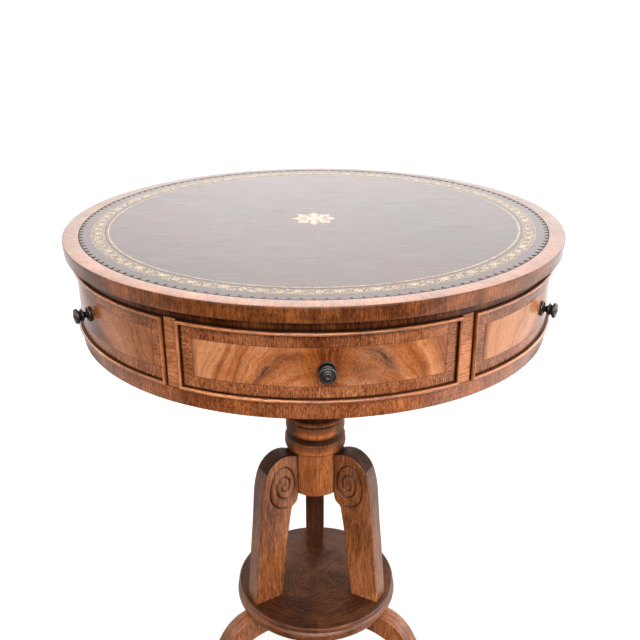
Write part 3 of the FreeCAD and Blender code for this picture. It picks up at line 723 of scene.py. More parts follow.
def leaf(cx, cy, length, width, turn, n=6, blunt=0.85):
    t = np.linspace(0, 1, n)
    w = width * 0.5 * np.sin(math.pi * t ** blunt)
    x = np.concatenate([t * length, (t * length)[-2:0:-1]])
    y = np.concatenate([w, -w[-2:0:-1]])
    c, s = math.cos(turn), math.sin(turn)
    return np.column_stack([cx + c * x - s * y, cy + s * x + c * y])


def stroke(pts, width, steps=5, taper=0.55):
    c = catmull(pts, steps)
    d = np.gradient(c, axis=0)
    nrm = np.column_stack([-d[:, 1], d[:, 0]]) / np.maximum(np.hypot(*d.T), 1e-9)[:, None]
    k = np.linspace(0, 1, len(c))
    w = width * 0.5 * (1 - (1 - taper) * np.abs(2 * k - 1) ** 3)
    return np.vstack([c + nrm * w[:, None], (c - nrm * w[:, None])[::-1]])


def arc(cx, cy, r, a0, a1, n=9):
    t = np.radians(np.linspace(a0, a1, n))
    return np.column_stack([cx + r * np.cos(t), cy + r * np.sin(t)])


BAND_R = 263.8
REPEATS = 44
PITCH = 2 * math.pi * BAND_R / REPEATS
unit = []
for i in range(8):                                    # rosette
    unit.append(leaf(0.0 + 1.5 * math.cos(i * math.pi / 4), 1.5 * math.sin(i * math.pi / 4), 3.7, 2.3, i * math.pi / 4))
unit.append(oval(0, 0, 1.15, 1.15, 0, 10))
for i in range(7):                                    # palmette
    t = math.radians(90 + (i - 3) * 25.0)
    unit.append(leaf(PITCH / 2 + 1.1 * math.cos(t), -4.3 + 1.1 * math.sin(t), 9.4 - 1.35 * abs(i - 3), 2.0, t))
unit.append(oval(PITCH / 2, -4.6, 1.3, 0.9, 0, 10))
for sx in (-1, 1):                                    # scrolls and leaves between them
    def mir(p, sx=sx):
        return np.asarray(p, float) * np.array([sx, 1.0])
    unit.append(stroke(mir([(4.6, -2.4), (7.0, -4.4), (10.2, -4.2), (12.6, -1.6), (11.9, 1.8), (9.2, 2.9), (7.3, 1.0), (8.4, -0.9),
                            (9.9, -0.2)]), 0.95))
    unit.append(stroke(mir([(12.2, -2.6), (13.9, -0.6), (14.6, 2.2), (13.6, 4.6), (11.6, 5.0), (11.2, 3.9)]), 0.85))
    for x, y, ln, wd, tn in ((6.0, -4.0, 3.2, 1.5, 250), (8.6, -4.7, 3.6, 1.6, 200), (11.6, 2.6, 3.8, 1.7, 118),
                             (9.6, 3.1, 3.6, 1.7, 158), (5.2, 2.6, 3.4, 1.6, 55), (12.4, -2.2, 3.3, 1.5, -62)):
        lf = leaf(0, 0, ln, wd, math.radians(tn))
        unit.append(mir(lf + np.array([x, y])))
    unit.append(mir(oval(5.6, 5.0, 0.75, 0.75, 0, 8)))
    unit.append(mir(oval(15.4, -4.8, 0.7, 0.7, 0, 8)))
b = Builder()
for k in range(REPEATS):
    for shape in unit:
        prism(b, bent(shape, BAND_R, 360.0 * k / REPEATS))


def gold_ring(b, r, w, n=360):
    prof = [(r - w / 2, GOLD_Z0), (r + w / 2, GOLD_Z0), (r + w / 2, GOLD_Z1), (r - w / 2, GOLD_Z1)]
    revolve(b, prof, n, r)


gold_ring(b, BAND_R + 6.9, 0.55)
gold_ring(b, BAND_R - 6.9, 0.55)
place(b.done("gold_roll_band", M_GOLD, 40.0, weld=None), "drum", ())
b = Builder()
gold_ring(b, 251.6, 1.15)
for k in range(420):
    prism(b, bent(oval(0, 0, 0.62, 0.62, 0, 8), 249.9, 360.0 * k / 420))
place(b.done("gold_fillet", M_GOLD, 40.0, weld=None), "drum", ())

b = Builder()                                          # star in the middle
ground = []
for i in range(16):
    t = i * math.pi / 8
    ground.append(((27.2 if i % 2 == 0 else 20.6) * math.cos(t), (27.2 if i % 2 == 0 else 20.6) * math.sin(t)))
prism(b, ground, LEATHER_Z + 0.03)
for i in range(8):
    t = i * math.pi / 4
    c, s = math.cos(t), math.sin(t)

    def turn(p, c=c, s=s):
        p = np.asarray(p, float)
        return np.column_stack([p[:, 0] * c - p[:, 1] * s, p[:, 0] * s + p[:, 1] * c])
    prism(b, turn([(18.6, -6.2), (23.6, -2.1), (30.0, 0.0), (23.6, 2.1), (18.6, 6.2), (19.4, 3.0), (21.0, 0.0), (19.4, -3.0)]))
    prism(b, turn(leaf(10.2, 0, 9.2, 4.6, 0.0)))
    prism(b, turn(leaf(4.0, 0, 5.4, 3.0, 0.0)))
    prism(b, turn(oval(15.2, 4.1, 1.25, 1.25, 0, 9)))
    prism(b, turn(oval(15.2, -4.1, 1.25, 1.25, 0, 9)))
    h = math.pi / 8
    for sg in (-1, 1):
        prism(b, turn(stroke(np.array([(9.2, sg * 1.4), (11.5, sg * 4.2), (15.0, sg * 6.2), (18.8, sg * 6.9)]), 1.0)))
    prism(b, turn(np.asarray(leaf(0, 0, 4.6, 2.2, h)) + np.array([9.6 * math.cos(h), 9.6 * math.sin(h)])))
    prism(b, turn(np.asarray(leaf(0, 0, 5.2, 2.6, h)) + np.array([16.0 * math.cos(h), 16.0 * math.sin(h)])))
prism(b, oval(0, 0, 2.2, 2.2, 0, 16))
place(b.done("gold_star", M_GOLD_PALE, 40.0, weld=None), "drum", ())

# ------------------------------------------------------------------ rails and stiles
b = Builder()
revolve(b, joined([(DRUM_RI, Z_RAIL_UP), (DRUM_R - 0.4, Z_RAIL_UP), (DRUM_R, Z_RAIL_UP + 0.4), (DRUM_R, Z_TOP_UNDER),
                   (DRUM_RI, Z_TOP_UNDER)]), 480, DRUM_R)
place(b.done("upper_rail_veneered", M_RAIL_UP, 40.0), "drum", ["upper_rail"])

b = Builder()
revolve(b, joined([(DRUM_RI, Z_DRUM_BOT), (DRUM_R - 1.6, Z_DRUM_BOT)],
                  catmull([(DRUM_R - 1.6, Z_DRUM_BOT), (DRUM_R - 0.45, Z_DRUM_BOT + 0.35), (DRUM_R, Z_DRUM_BOT + 1.5)], 4),
                  [(DRUM_R, Z_DRUM_BOT + 1.5), (DRUM_R, Z_RAIL_LO - 0.4), (DRUM_R - 0.4, Z_RAIL_LO), (DRUM_RI, Z_RAIL_LO)]),
        480, DRUM_R)
place(b.done("lower_rail_veneered", M_RAIL_LO, 40.0), "drum", ["lower_rail"])


def slab(b, a0, a1, z0, z1, r0, r1, na, nz, mid=0.0, soft=0.35, mat=0, dirt_and_painted_light=None):
    """A curved block between two azimuths, with softened outer edges. UV is the outer face: arc from mid, height from its middle."""
    zc = 0.5 * (z0 + z1)
    ea = math.degrees(soft / r1)
    aa = np.concatenate([[a0, a0 + ea * 0.3], np.linspace(a0 + ea, a1 - ea, na), [a1 - ea * 0.3, a1]])
    zz = np.concatenate([[z0, z0 + soft * 0.3], np.linspace(z0 + soft, z1 - soft, nz), [z1 - soft * 0.3, z1]])
    drop = np.array([soft, soft * 0.3] + [0.0] * na + [soft * 0.3, soft])
    dropz = np.array([soft, soft * 0.3] + [0.0] * nz + [soft * 0.3, soft])
    R = r1 - np.maximum(drop[:, None], dropz[None, :])
    UV = np.stack(np.broadcast_arrays(np.radians(aa - mid)[:, None] * r1, (zz - zc)[None, :]), -1) * MM
    b.grid(on_drum(aa[:, None], R, zz[None, :]), UV, mat=mat, att=None if dirt_and_painted_light is None else dirt_and_painted_light(aa, zz))
    back = on_drum(aa[:, None], np.full_like(R, r0), zz[None, :])
    b.grid(back, UV, mat=mat)
    F = on_drum(aa[:, None], R, zz[None, :])
    depth = (r1 - r0) * MM
    for i in (0, len(aa) - 1):
        side = np.stack([F[i], back[i]], 0)
        uv = np.stack([UV[i], UV[i] + np.array([depth if i else -depth, 0])], 0)
        b.grid(side, uv, mat=mat)
    for j in (0, len(zz) - 1):
        side = np.stack([F[:, j], back[:, j]], 1)
        uv = np.stack([UV[:, j], UV[:, j] + np.array([0, depth if j else -depth])], 1)
        b.grid(side, uv, mat=mat)


b = Builder()
for k, az_d in enumerate((0.0, 120.0, -120.0)):
    for a0, a1 in ((DRAWER_EDGE, 60.0 - DUMMY_EDGE), (DUMMY_EDGE - 60.0, -DRAWER_EDGE)):
        # Painted shade: each stile darkens within 0.7 mm of the beads, in the gap beside them.
        def edges(aa, zz, a0=az_d + a0, a1=az_d + a1):
            near = np.minimum(aa - a0, a1 - aa) * math.radians(DRUM_R)
            glare_lift = -0.10 if 0.0 < a0 < 60.0 else 0.0                        # painted highlight: the stile right of the front drawer is made paler, standing in for glare
            return np.broadcast_to(np.where(near < 0.7, np.clip(1.0 - near / 0.7, 0, 1) * 0.7, glare_lift)[:, None], (len(aa), len(zz)))
        slab(b, az_d + a0, az_d + a1, Z_RAIL_LO, Z_RAIL_UP, DRUM_RI, DRUM_R, 24, 24, az_d + 10.0 * k, 0.35, dirt_and_painted_light=edges)
place(b.done("stiles_veneered", M_STILE, 40.0, att_name="soil_and_painted_light"), "drum", ["drum_stiles"])

# ------------------------------------------------------------------ fronts, beads, knobs
FZ0, FZ1 = Z_RAIL_LO + GAP_Z, Z_RAIL_UP - GAP_Z
BT = math.degrees(BEAD_T / BEAD_R)
FACE_HALF_V = 0.5 * (FZ1 - FZ0) - BEAD_T


def front_mesh(name, az, fixed, mats):
    """Veneered face with its thicker rebated back, as one closed piece."""
    b = Builder()
    na, nz = 111, 25
    s = 0.3
    edge_a = DUMMY_EDGE if fixed else DRAWER_EDGE
    half_a = edge_a - GAP_ANG
    face_a = half_a - BT
    # grid lines; two of them run along the string between crossband and panel
    cb = 13.0
    ua = np.radians(face_a) * FRONT_R
    us = np.unique(np.round(np.concatenate([np.linspace(-ua + s, ua - s, na), [-ua, ua],
                                            [sg * (ua - cb + o) for sg in (-1, 1) for o in (-0.35, 0.0, 0.35)]]), 4))
    va = FACE_HALF_V
    vs = np.unique(np.round(np.concatenate([np.linspace(-va + s, va - s, nz), [-va, va],
                                            [sg * (va - cb + o) for sg in (-1, 1) for o in (-0.35, 0.0, 0.35)]]), 4))
    e = np.minimum((ua - np.abs(us))[:, None], (va - np.abs(vs))[None, :])
    R = FRONT_R - np.where(e < s * 0.5, s, 0.0) - np.where(np.abs(e - cb) < 0.05, 0.12, 0.0)
    A = np.degrees(us / FRONT_R)
    zc = 0.5 * (FZ0 + FZ1)
    F = on_drum(az + A[:, None], R, (zc + vs)[None, :])
    UV = np.stack(np.broadcast_arrays(us[:, None], vs[None, :]), -1) * MM
    b.grid(F, UV, mat=0)

    def loop(half_a, z0, z1, r):
        """Boundary of the same grid, stretched to a larger rectangle, at radius r."""
        fa = A / A[-1] * half_a
        fz = z0 + (vs - vs[0]) / (vs[-1] - vs[0]) * (z1 - z0)
        return np.concatenate([on_drum(az + fa, r, fz[0]), on_drum(az + fa[-1], r, fz[1:]),
                               on_drum(az + fa[-2::-1], r, fz[-1]), on_drum(az + fa[0], r, fz[-2:0:-1])]), fa, fz

    first = np.concatenate([F[:, 0], F[-1, 1:], F[-2::-1, -1], F[0, -2:0:-1]])
    ha, z0, z1 = (edge_a, Z_RAIL_LO, Z_RAIL_UP) if fixed else (half_a, FZ0, FZ1)
    l1, _, _ = loop(face_a, FZ0 + BEAD_T, FZ1 - BEAD_T, BEAD_RI)
    l2, _, _ = loop(ha, z0, z1, BEAD_RI)
    l3, fa, fz = loop(ha, z0, z1, FRONT_RI)
    L = np.stack([first, l1, l2, l3], 1)
    n = len(first)
    per = np.arange(n + 1) * 0.003
    b.grid(L, np.stack(np.broadcast_arrays(per[:, None], np.array([0.0, 0.012, 0.016, 0.022])[None, :]), -1), cu=True, mat=1)
    back = on_drum(az + fa[:, None], FRONT_RI, fz[None, :])
    b.grid(back, UV, mat=1)
    return b.done(name, mats, 35.0)


def bead_mesh(b, az, half_a):
    """Cock bead: a rounded strip round the front, mitred at the corners."""
    w = BEAD_T
    half = w / 2.0
    bow = [(half - half * math.cos(math.radians(t)), BEAD_R - half + half * math.sin(math.radians(t))) for t in range(0, 181, 15)]
    prof = [(0.0, BEAD_RI), (0.0, DRUM_R + 1.2)] + bow + [(w, FRONT_R - 1.0), (w, BEAD_RI)]
    # painted shade on the flanks, darkest beside the face and the stile, where shade falls
    dirt_and_painted_light = [1.0, 0.95, 0.72, 0.40, 0.18, 0.05, 0.0, 0.0, 0.0, 0.0, 0.0, 0.05, 0.25, 0.6, 0.92, 1.0, 1.0]
    nl, ns = 150, 26
    P, S = [], []
    total = 0.0
    for o, r in prof:
        da = math.degrees(o / BEAD_R)
        a0, a1, z0, z1 = -half_a + da, half_a - da, FZ0 + o, FZ1 - o
        ring = np.concatenate([on_drum(az + np.linspace(a0, a1, nl, endpoint=False), r, z0),
                               on_drum(az + a1, r, np.linspace(z0, z1, ns, endpoint=False)),
                               on_drum(az + np.linspace(a1, a0, nl, endpoint=False), r, z1),
                               on_drum(az + a0, r, np.linspace(z1, z0, ns, endpoint=False))])
        P.append(ring)
    P = np.stack(P, 1)
    mid = P[:, 7]
    step = np.linalg.norm(np.roll(mid, -1, 0) - mid, axis=1)
    u = np.concatenate([[0], np.cumsum(step)])
    pr = np.array(prof)
    s = np.concatenate([[0], np.cumsum(np.hypot(*np.diff(np.vstack([pr, pr[:1]]), axis=0).T))]) * MM
    UV = np.stack(np.broadcast_arrays((u + az * 0.01)[:, None], s[None, :]), -1)
    bead_painted_shade = np.repeat(np.array(dirt_and_painted_light)[None, :], len(P), 0)
    bead_painted_shade[:nl, 9:15] = (0.0, 0.0, 0.0, 0.04, 0.2, 0.7)                         # lower strip: less painted shade on its upper side, which faces the light
    bead_painted_shade[nl + ns:2 * nl + ns, 3:6] = (0.3, 0.06, 0.0)                         # upper strip likewise
    # the flank faces take the painted-shade wood
    shaded_flank_faces = np.zeros(P.shape[:2], int)
    shaded_flank_faces[:, [0, 14, 15, 16]] = 1
    b.grid(P, UV, cu=True, cv=True, att=bead_painted_shade, mat=shaded_flank_faces)


ROSE = joined(catmull([(0.0, 0.05), (8.1, 0.05)], 1),
              catmull([(8.1, 0.05), (8.6, 0.5), (8.75, 1.2), (8.6, 2.0), (8.15, 2.5), (7.6, 2.55), (7.25, 2.25)], 4),
              catmull([(7.25, 2.25), (6.7, 1.75), (5.8, 1.6), (4.8, 1.8), (4.0, 2.4), (3.6, 3.3), (3.5, 4.15)], 4), [(0.0, 4.15)])
KNOB = joined([(0.0, -14.8), (2.3, -14.8), (2.3, 4.1)],
              catmull([(3.5, 4.15), (3.3, 4.8), (3.6, 5.8), (4.7, 7.0), (6.1, 7.8), (6.7, 8.0)], 4),
              catmull([(6.7, 8.0), (7.35, 8.35), (7.6, 9.0), (7.4, 9.65), (6.8, 10.0)], 4),
              catmull([(6.8, 10.0), (5.9, 10.35), (5.5, 11.1), (5.8, 11.9), (6.7, 12.45)], 4),
              catmull([(6.7, 12.45), (7.9, 12.95), (8.55, 13.75), (8.8, 14.7), (8.65, 15.6), (8.1, 16.35), (7.4, 16.7), (6.9, 16.65)], 4),
              catmull([(6.9, 16.65), (6.6, 16.35), (6.25, 16.1), (5.9, 16.2)], 3),
              catmull([(5.9, 16.2), (5.4, 16.5), (4.7, 16.75), (4.0, 16.85), (3.75, 16.95)], 3),
              catmull([(3.75, 16.95), (3.35, 17.6), (2.75, 17.95), (2.1, 17.8), (1.6, 17.4), (0.9, 17.25), (0.0, 17.2)], 3))
rose_r = 0.5 * (ROSE[1:, 0] + ROSE[:-1, 0])
rose_o = 0.5 * (ROSE[1:, 1] + ROSE[:-1, 1])
# these masks pick the hollows that take the painted-shade bronze
ROSE_MAT = np.where((rose_r < 7.3) & (rose_o > 1.0), 1, 0)
knob_r = 0.5 * (KNOB[1:, 0] + KNOB[:-1, 0])
knob_o = 0.5 * (KNOB[1:, 1] + KNOB[:-1, 1])
KNOB_MAT = np.where(((knob_o < 7.85) | ((knob_o > 10.05) & (knob_o < 12.5)) | ((knob_r > 5.85) & (knob_r < 6.85) & (knob_o > 15.9))), 1, 0)

M_EDGE = long_grain("front_edges", 77.0, 0.55, "u", 0.8, 0.4)
FRONTS = [("drawer_front", 0.0, False, "drawer_front", KNOB_SHIFT,
           dict(seed=5.0, shade_r=0.72, arcs=((26.0, -56.0, 26.0, 0.95), (24.0, 62.0, 18.0, 1.1), (60.0, -82.0, 10.0, 0.35), (124.0, -100.0, 16.0, 0.55), (165.0, -116.0, 16.0, 0.35), (20.0, -26.0, 24.0, 0.20), (8.0, -20.0, 18.0, 0.25), (4.0, 40.0, 18.0, 0.45), (120.0, 112.0, 14.0, 0.45)))),
          ("drawer_right", 120.0, False, "drawer_right", 0.0, dict(seed=105.0)),
          ("drawer_left", -120.0, False, "drawer_left", 0.0, dict(seed=205.0)),
          ("dummy_right", 60.0, True, "drum", 0.0, dict(seed=305.0, pale=0.03, depth=0.8, gain=0.86)),
          ("dummy_left", -60.0, True, "drum", 0.0, dict(seed=405.0, pale=-0.050, gain=0.78, depth=0.9, edging=1.42)),
          ("dummy_rear", 180.0, True, "drum", 0.0, dict(seed=505.0))]
dummy_beads, dummy_knobs, dummy_roses = Builder(), Builder(), Builder()
for name, az_f, fixed, body, shift, how in FRONTS:
    half_a = (DUMMY_EDGE if fixed else DRAWER_EDGE) - GAP_ANG
    mat = flame("flame_" + name, half_u=math.radians(half_a - BT) * FRONT_R, half_v=FACE_HALF_V, **how)
    face = front_mesh(name + "_veneered", az_f, fixed, [mat, M_EDGE])
    place(face, body, [name + "_face"])
    at = az_f + math.degrees(shift / FRONT_R)
    bb, bk, br = (dummy_beads, dummy_knobs, dummy_roses) if fixed else (Builder(), Builder(), Builder())
    bead_mesh(bb, az_f, half_a)
    z_k = Z_KNOB - (KNOB_DROP if shift else 0.0)
    axis_turned(bk, KNOB, at, FRONT_R, z_k, 56, KNOB_MAT[None, :])
    axis_turned(br, ROSE, at, FRONT_R, z_k, 64, ROSE_MAT[None, :])
    if not fixed:
        place(bb.done(name + "_bead", [M_BEAD, M_SHADED_WOOD], 38.0, att_name="soil_and_painted_light"), body, [name + "_cock_bead"])
        place(bk.done(name + "_turned_knob", [M_BRONZE, M_BRONZE_SHADED], 40.0), body, [name + "_knob"])
        place(br.done(name + "_turned_rose", [M_BRONZE, M_BRONZE_SHADED], 40.0), body, [name + "_knob_rose"])
place(dummy_beads.done("dummy_front_beads", [M_BEAD, M_SHADED_WOOD], 38.0, att_name="soil_and_painted_light"), "drum", ["dummy_cock_beads"])
place(dummy_knobs.done("dummy_turned_knobs", [M_BRONZE, M_BRONZE_SHADED], 40.0), "drum", ["dummy_knobs"])
place(dummy_roses.done("dummy_turned_roses", [M_BRONZE, M_BRONZE_SHADED], 40.0), "drum", ["dummy_knob_roses"])

# ------------------------------------------------------------------ turned column, platform
HUB_R, HUB_BOT = 39.2, 341.0
col = joined([(0.0, HUB_BOT), (HUB_R - 0.8, HUB_BOT), (HUB_R - 0.2, HUB_BOT + 0.25), (HUB_R, HUB_BOT + 0.8)],
             [(HUB_R, z) for z in np.linspace(HUB_BOT + 2.0, 404.6, 24)], [(HUB_R, 405.3), (39.9, 405.5)],
             catmull([(39.9, 405.5), (41.2, 406.3), (42.0, 407.8), (42.6, 410.4), (42.8, 413.2), (42.65, 416.4), (42.2, 418.3), (41.5, 419.2)], 4),
             catmull([(41.4, 419.4), (42.0, 419.8), (42.35, 420.7), (42.2, 421.7), (41.5, 422.5)], 4),
             catmull([(41.4, 422.6), (40.0, 423.6), (38.9, 425.4), (38.4, 428.0)], 4), [(38.4, 430.2), (39.0, 430.4)],
             catmull([(39.2, 430.6), (40.5, 433.6), (41.25, 438.0), (41.0, 442.4), (39.9, 446.2), (38.6, 448.4)], 5),
             [(37.3, 448.9), (37.2, 450.7), (41.0, 451.0)],
             catmull([(41.4, 451.2), (42.5, 452.2), (42.8, 453.6), (42.3, 454.8)], 4),
             catmull([(42.3, 454.8), (38.0, 456.6), (33.5, 459.5), (30.6, 464.0)], 4), [(30.6, 466.4), (28.9, 466.9)],
             catmull([(28.8, 467.0), (33.4, 476.0), (37.4, 490.0), (37.6, 504.0), (33.6, 522.0), (28.0, 540.0), (25.0, 552.0), (24.6, 557.9)], 6),
             [(28.4, 558.5)],
             catmull([(28.6, 558.6), (31.4, 560.6), (32.2, 563.4), (31.4, 566.2), (28.6, 568.2)], 4), [(27.2, 568.8)],
             catmull([(27.2, 568.8), (28.2, 574.0), (31.6, 579.6), (37.0, 583.6), (41.9, 585.0)], 5), [(20.0, 585.0), (20.0, 600.0), (0.0, 600.0)])
b = Builder()
# Painted shade on the column: its grooves and the collar's top are darkened, more so over the legs and where the legs
# meet the hub.
grooves = [(418.7, 420.1, 0.95), (422.6, 431.2, 0.95), (447.6, 451.7, 1.0), (455.2, 470.0, 0.85), (404.5, 406.6, 0.95),
           (557.0, 559.0, 0.9), (567.8, 569.6, 0.9)]
wear_and_painted_light = np.zeros(len(col))
for z0, z1, d in grooves:
    wear_and_painted_light = np.maximum(wear_and_painted_light, d * np.clip(np.minimum(col[:, 1] - z0, z1 - col[:, 1]) / 0.7, 0, 1))
wear_and_painted_light = np.maximum(wear_and_painted_light, np.interp(col[:, 1], [438.0, 441.0, 447.6, 447.7], [0.0, 0.1, 0.75, 0.0]))
wear_and_painted_light = np.maximum(wear_and_painted_light, np.interp(col[:, 1], [411.0, 413.0, 418.6, 418.7], [0.0, 0.05, 0.55, 0.0]))
wear_and_painted_light = np.maximum(wear_and_painted_light, np.interp(col[:, 1], [405.0, 406.0, 408.5, 413.0, 416.0, 430.0, 433.0, 441.0, 444.0, 452.0, 453.0, 454.0, 456.0, 470.0],
                                  [0.0, 0.45, 0.0, 0.0, 0.4, 0.5, 0.0, 0.0, 0.4, 0.5, 0.15, 0.3, 0.6, 0.0]))
wear_and_painted_light = np.maximum(wear_and_painted_light, 0.18 * ((col[:, 1] > 405.0) & (col[:, 1] < 449.0)))
wear_and_painted_light = np.repeat(wear_and_painted_light[None, :], 288, 0)
turn_az = np.arange(288) * 360.0 / 288
to_leg = np.abs((turn_az - 60.0 + 60.0) % 120.0 - 60.0)               # degrees from the nearest leg
lap = (to_leg - math.degrees(math.asin(14.0 / HUB_R))) * math.radians(HUB_R)
corner = np.clip(1.0 - lap / 3.2, 0, 1) ** 1.5 * 0.9
wear_and_painted_light = np.where((col[:, 1] < 405.0)[None, :], np.maximum(wear_and_painted_light, corner[:, None]), wear_and_painted_light)
over_leg = 0.78 * np.exp(-(np.maximum(to_leg - 8.0, 0.0) / 18.0) ** 2)
wear_and_painted_light = np.where(((col[:, 1] > 405.0) & (col[:, 1] < 468.0))[None, :], np.maximum(wear_and_painted_light, over_leg[:, None]), wear_and_painted_light)
# the darkest bands take the painted-shade wood
mid_az = np.argmax(to_leg)
deep_painted_shade = wear_and_painted_light[mid_az][:-1] + wear_and_painted_light[mid_az][1:] > 1.5
# painted highlight: the torus crest and the lower ring are lightened, least over the legs
wear_and_painted_light = wear_and_painted_light - 0.80 * np.clip(1.0 - 1.3 * over_leg, 0.0, 1.0)[:, None] * (np.exp(-((col[:, 1] - 437.0) / 3.2) ** 2) + 0.7 * np.exp(-((col[:, 1] - 410.2) / 2.2) ** 2))[None, :]
revolve(b, col, 288, 40.0, closed=False, att=wear_and_painted_light, mat=np.where(deep_painted_shade, 1, 0)[None, :])
place(b.done("turned_column", [M_TURNED, M_SHADED_WOOD], 34.0, att_name="soil_and_painted_light"), "base", ["pedestal_column"])

pl = joined([(0.0, 150.0), (109.6, 150.0)],
            catmull([(109.6, 150.0), (114.0, 151.4), (116.8, 154.2), (118.0, 158.6), (117.1, 163.2), (114.6, 166.6)], 5),
            [(114.6, 168.8)], catmull([(114.6, 168.9), (115.8, 170.0), (116.2, 172.0), (115.6, 174.0), (113.8, 175.0)], 4), [(0.0, 175.0)])
b = Builder()
# painted shade: the platform's top and lower edge are darkened, under the drum and legs
platform_painted_shade = np.interp(pl[:, 1], [149.0, 150.2, 160.0, 170.0, 174.7, 175.0], [0.5, 0.2, 0.0, 0.1, 0.4, 0.66])
revolve(b, pl, 240, 116.0, closed=False, att=np.repeat(platform_painted_shade[None, :], 240, 0), mat=np.where(pl[:-1, 1] + pl[1:, 1] > 349.9, 1, 0)[None, :])
place(b.done("turned_platform", [M_PLAT, M_PLAT_TOP], 34.0, att_name="soil_and_painted_light"), "base", ["platform"])


# ------------------------------------------------------------------ sawn and carved plates: legs and feet
def resample(closed, step):
    p = np.vstack([closed, closed[:1]])
    d = np.concatenate([[0], np.cumsum(np.hypot(*np.diff(p, axis=0).T))])
    n = max(8, int(round(d[-1] / step)))
    t = np.linspace(0, d[-1], n, endpoint=False)
    return np.column_stack([np.interp(t, d, p[:, 0]), np.interp(t, d, p[:, 1])])


def to_line(pts, line_pts, closed):
    """Distance from each point to a polyline."""
    a = line_pts
    c = np.roll(a, -1, 0) if closed else None
    s0, s1 = (a, c) if closed else (a[:-1], a[1:])
    best = np.full(len(pts), 1e9)
    for i in range(0, len(s0), 64):
        p0, p1 = s0[i:i + 64], s1[i:i + 64]
        d = p1 - p0
        w = pts[:, None] - p0[None]
        t = np.clip((w * d[None]).sum(2) / np.maximum((d * d).sum(1), 1e-12)[None], 0, 1)
        best = np.minimum(best, np.linalg.norm(w - t[..., None] * d[None], axis=2).min(1))
    return best


def inside_of(pts, loop):
    x, y = pts[:, 0], pts[:, 1]
    x0, y0 = loop[:, 0], loop[:, 1]
    x1, y1 = np.roll(x0, -1), np.roll(y0, -1)
    hit = ((y0[None] > y[:, None]) != (y1[None] > y[:, None])) & (
        x[:, None] < (x1 - x0)[None] * (y[:, None] - y0[None]) / np.where(y1 == y0, 1e-12, y1 - y0)[None] + x0[None])
    return hit.sum(1) % 2 == 1


def plate(outline, rounding, grooves=(), step=1.3, coarse=4.0):
    """Flat triangulation of an outline with rings of points along its edge and along carved grooves.
    Returns points, triangles, edge order and each point's distance to the edge."""
    loop = resample(outline, step)
    n0 = len(loop)
    t = np.roll(loop, -1, 0) - np.roll(loop, 1, 0)
    area = 0.5 * np.sum(loop[:, 0] * np.roll(loop[:, 1], -1) - np.roll(loop[:, 0], -1) * loop[:, 1])
    nrm = np.column_stack([-t[:, 1], t[:, 0]]) / np.maximum(np.hypot(*t.T), 1e-9)[:, None] * (1 if area > 0 else -1)
    extra = []
    for d in (0.12, 0.35, 0.7, 1.0):
        extra.append((loop + nrm * d * rounding, d * rounding * 0.8))
    extra.append(((loop + nrm * (rounding + 1.2))[::2], rounding * 0.9))
    kept = []
    for pts, least in extra:
        ok = inside_of(pts, loop) & (to_line(pts, loop, True) > least)
        kept.append(pts[ok])
    for g in grooves:
        c = g["line"]
        tg = np.gradient(c, axis=0)
        gn = np.column_stack([-tg[:, 1], tg[:, 0]]) / np.maximum(np.hypot(*tg.T), 1e-9)[:, None]
        for o in (0.0, 0.3, -0.3, 0.65, -0.65, 1.1, -1.1, 1.8, -1.8, 2.8, -2.8):
            pts = c + gn * o
            ok = inside_of(pts, loop) & (to_line(pts, loop, True) > rounding + 0.3)
            pts = pts[ok]
            if abs(o) > 0.01 and len(pts):
                pts = pts[to_line(pts, c, False) > abs(o) * 0.9]
            kept.append(pts)
    lo, hi = loop.min(0), loop.max(0)
    gx, gy = np.meshgrid(np.arange(lo[0], hi[0], coarse), np.arange(lo[1], hi[1], coarse), indexing="ij")
    gx = gx + (np.arange(gx.shape[1])[None] % 2) * coarse * 0.5
    g = np.column_stack([gx.ravel(), gy.ravel()])
    g = g[inside_of(g, loop)]
    g = g[to_line(g, loop, True) > rounding + 2.2]
    for gr in grooves:
        g = g[to_line(g, gr["line"], False) > 3.6]
    kept.append(g)
    pts = np.vstack([loop] + kept)
    # drop points that nearly coincide
    key = {}
    use = []
    for i, p in enumerate(pts):
        cell = (int(p[0] / 0.22), int(p[1] / 0.22))
        near = any(np.hypot(*(pts[j] - p)) < 0.2 for dx in (-1, 0, 1) for dy in (-1, 0, 1)
                   for j in key.get((cell[0] + dx, cell[1] + dy), ()))
        if i >= n0 and near:
            continue
        key.setdefault(cell, []).append(i)
        use.append(i)
    pts = pts[use]
    res = delaunay_2d_cdt([Vector(p) for p in pts], [], [list(range(n0))], 1, 1e-4)
    got = np.array([[v.x, v.y] for v in res[0]])
    back = {}
    for i, orig in enumerate(res[3]):
        for o in orig:
            back[o] = i
    order = np.array([back[i] for i in range(n0)])
    return got, np.array([list(f) for f in res[2]]), order, to_line(got, loop, True)


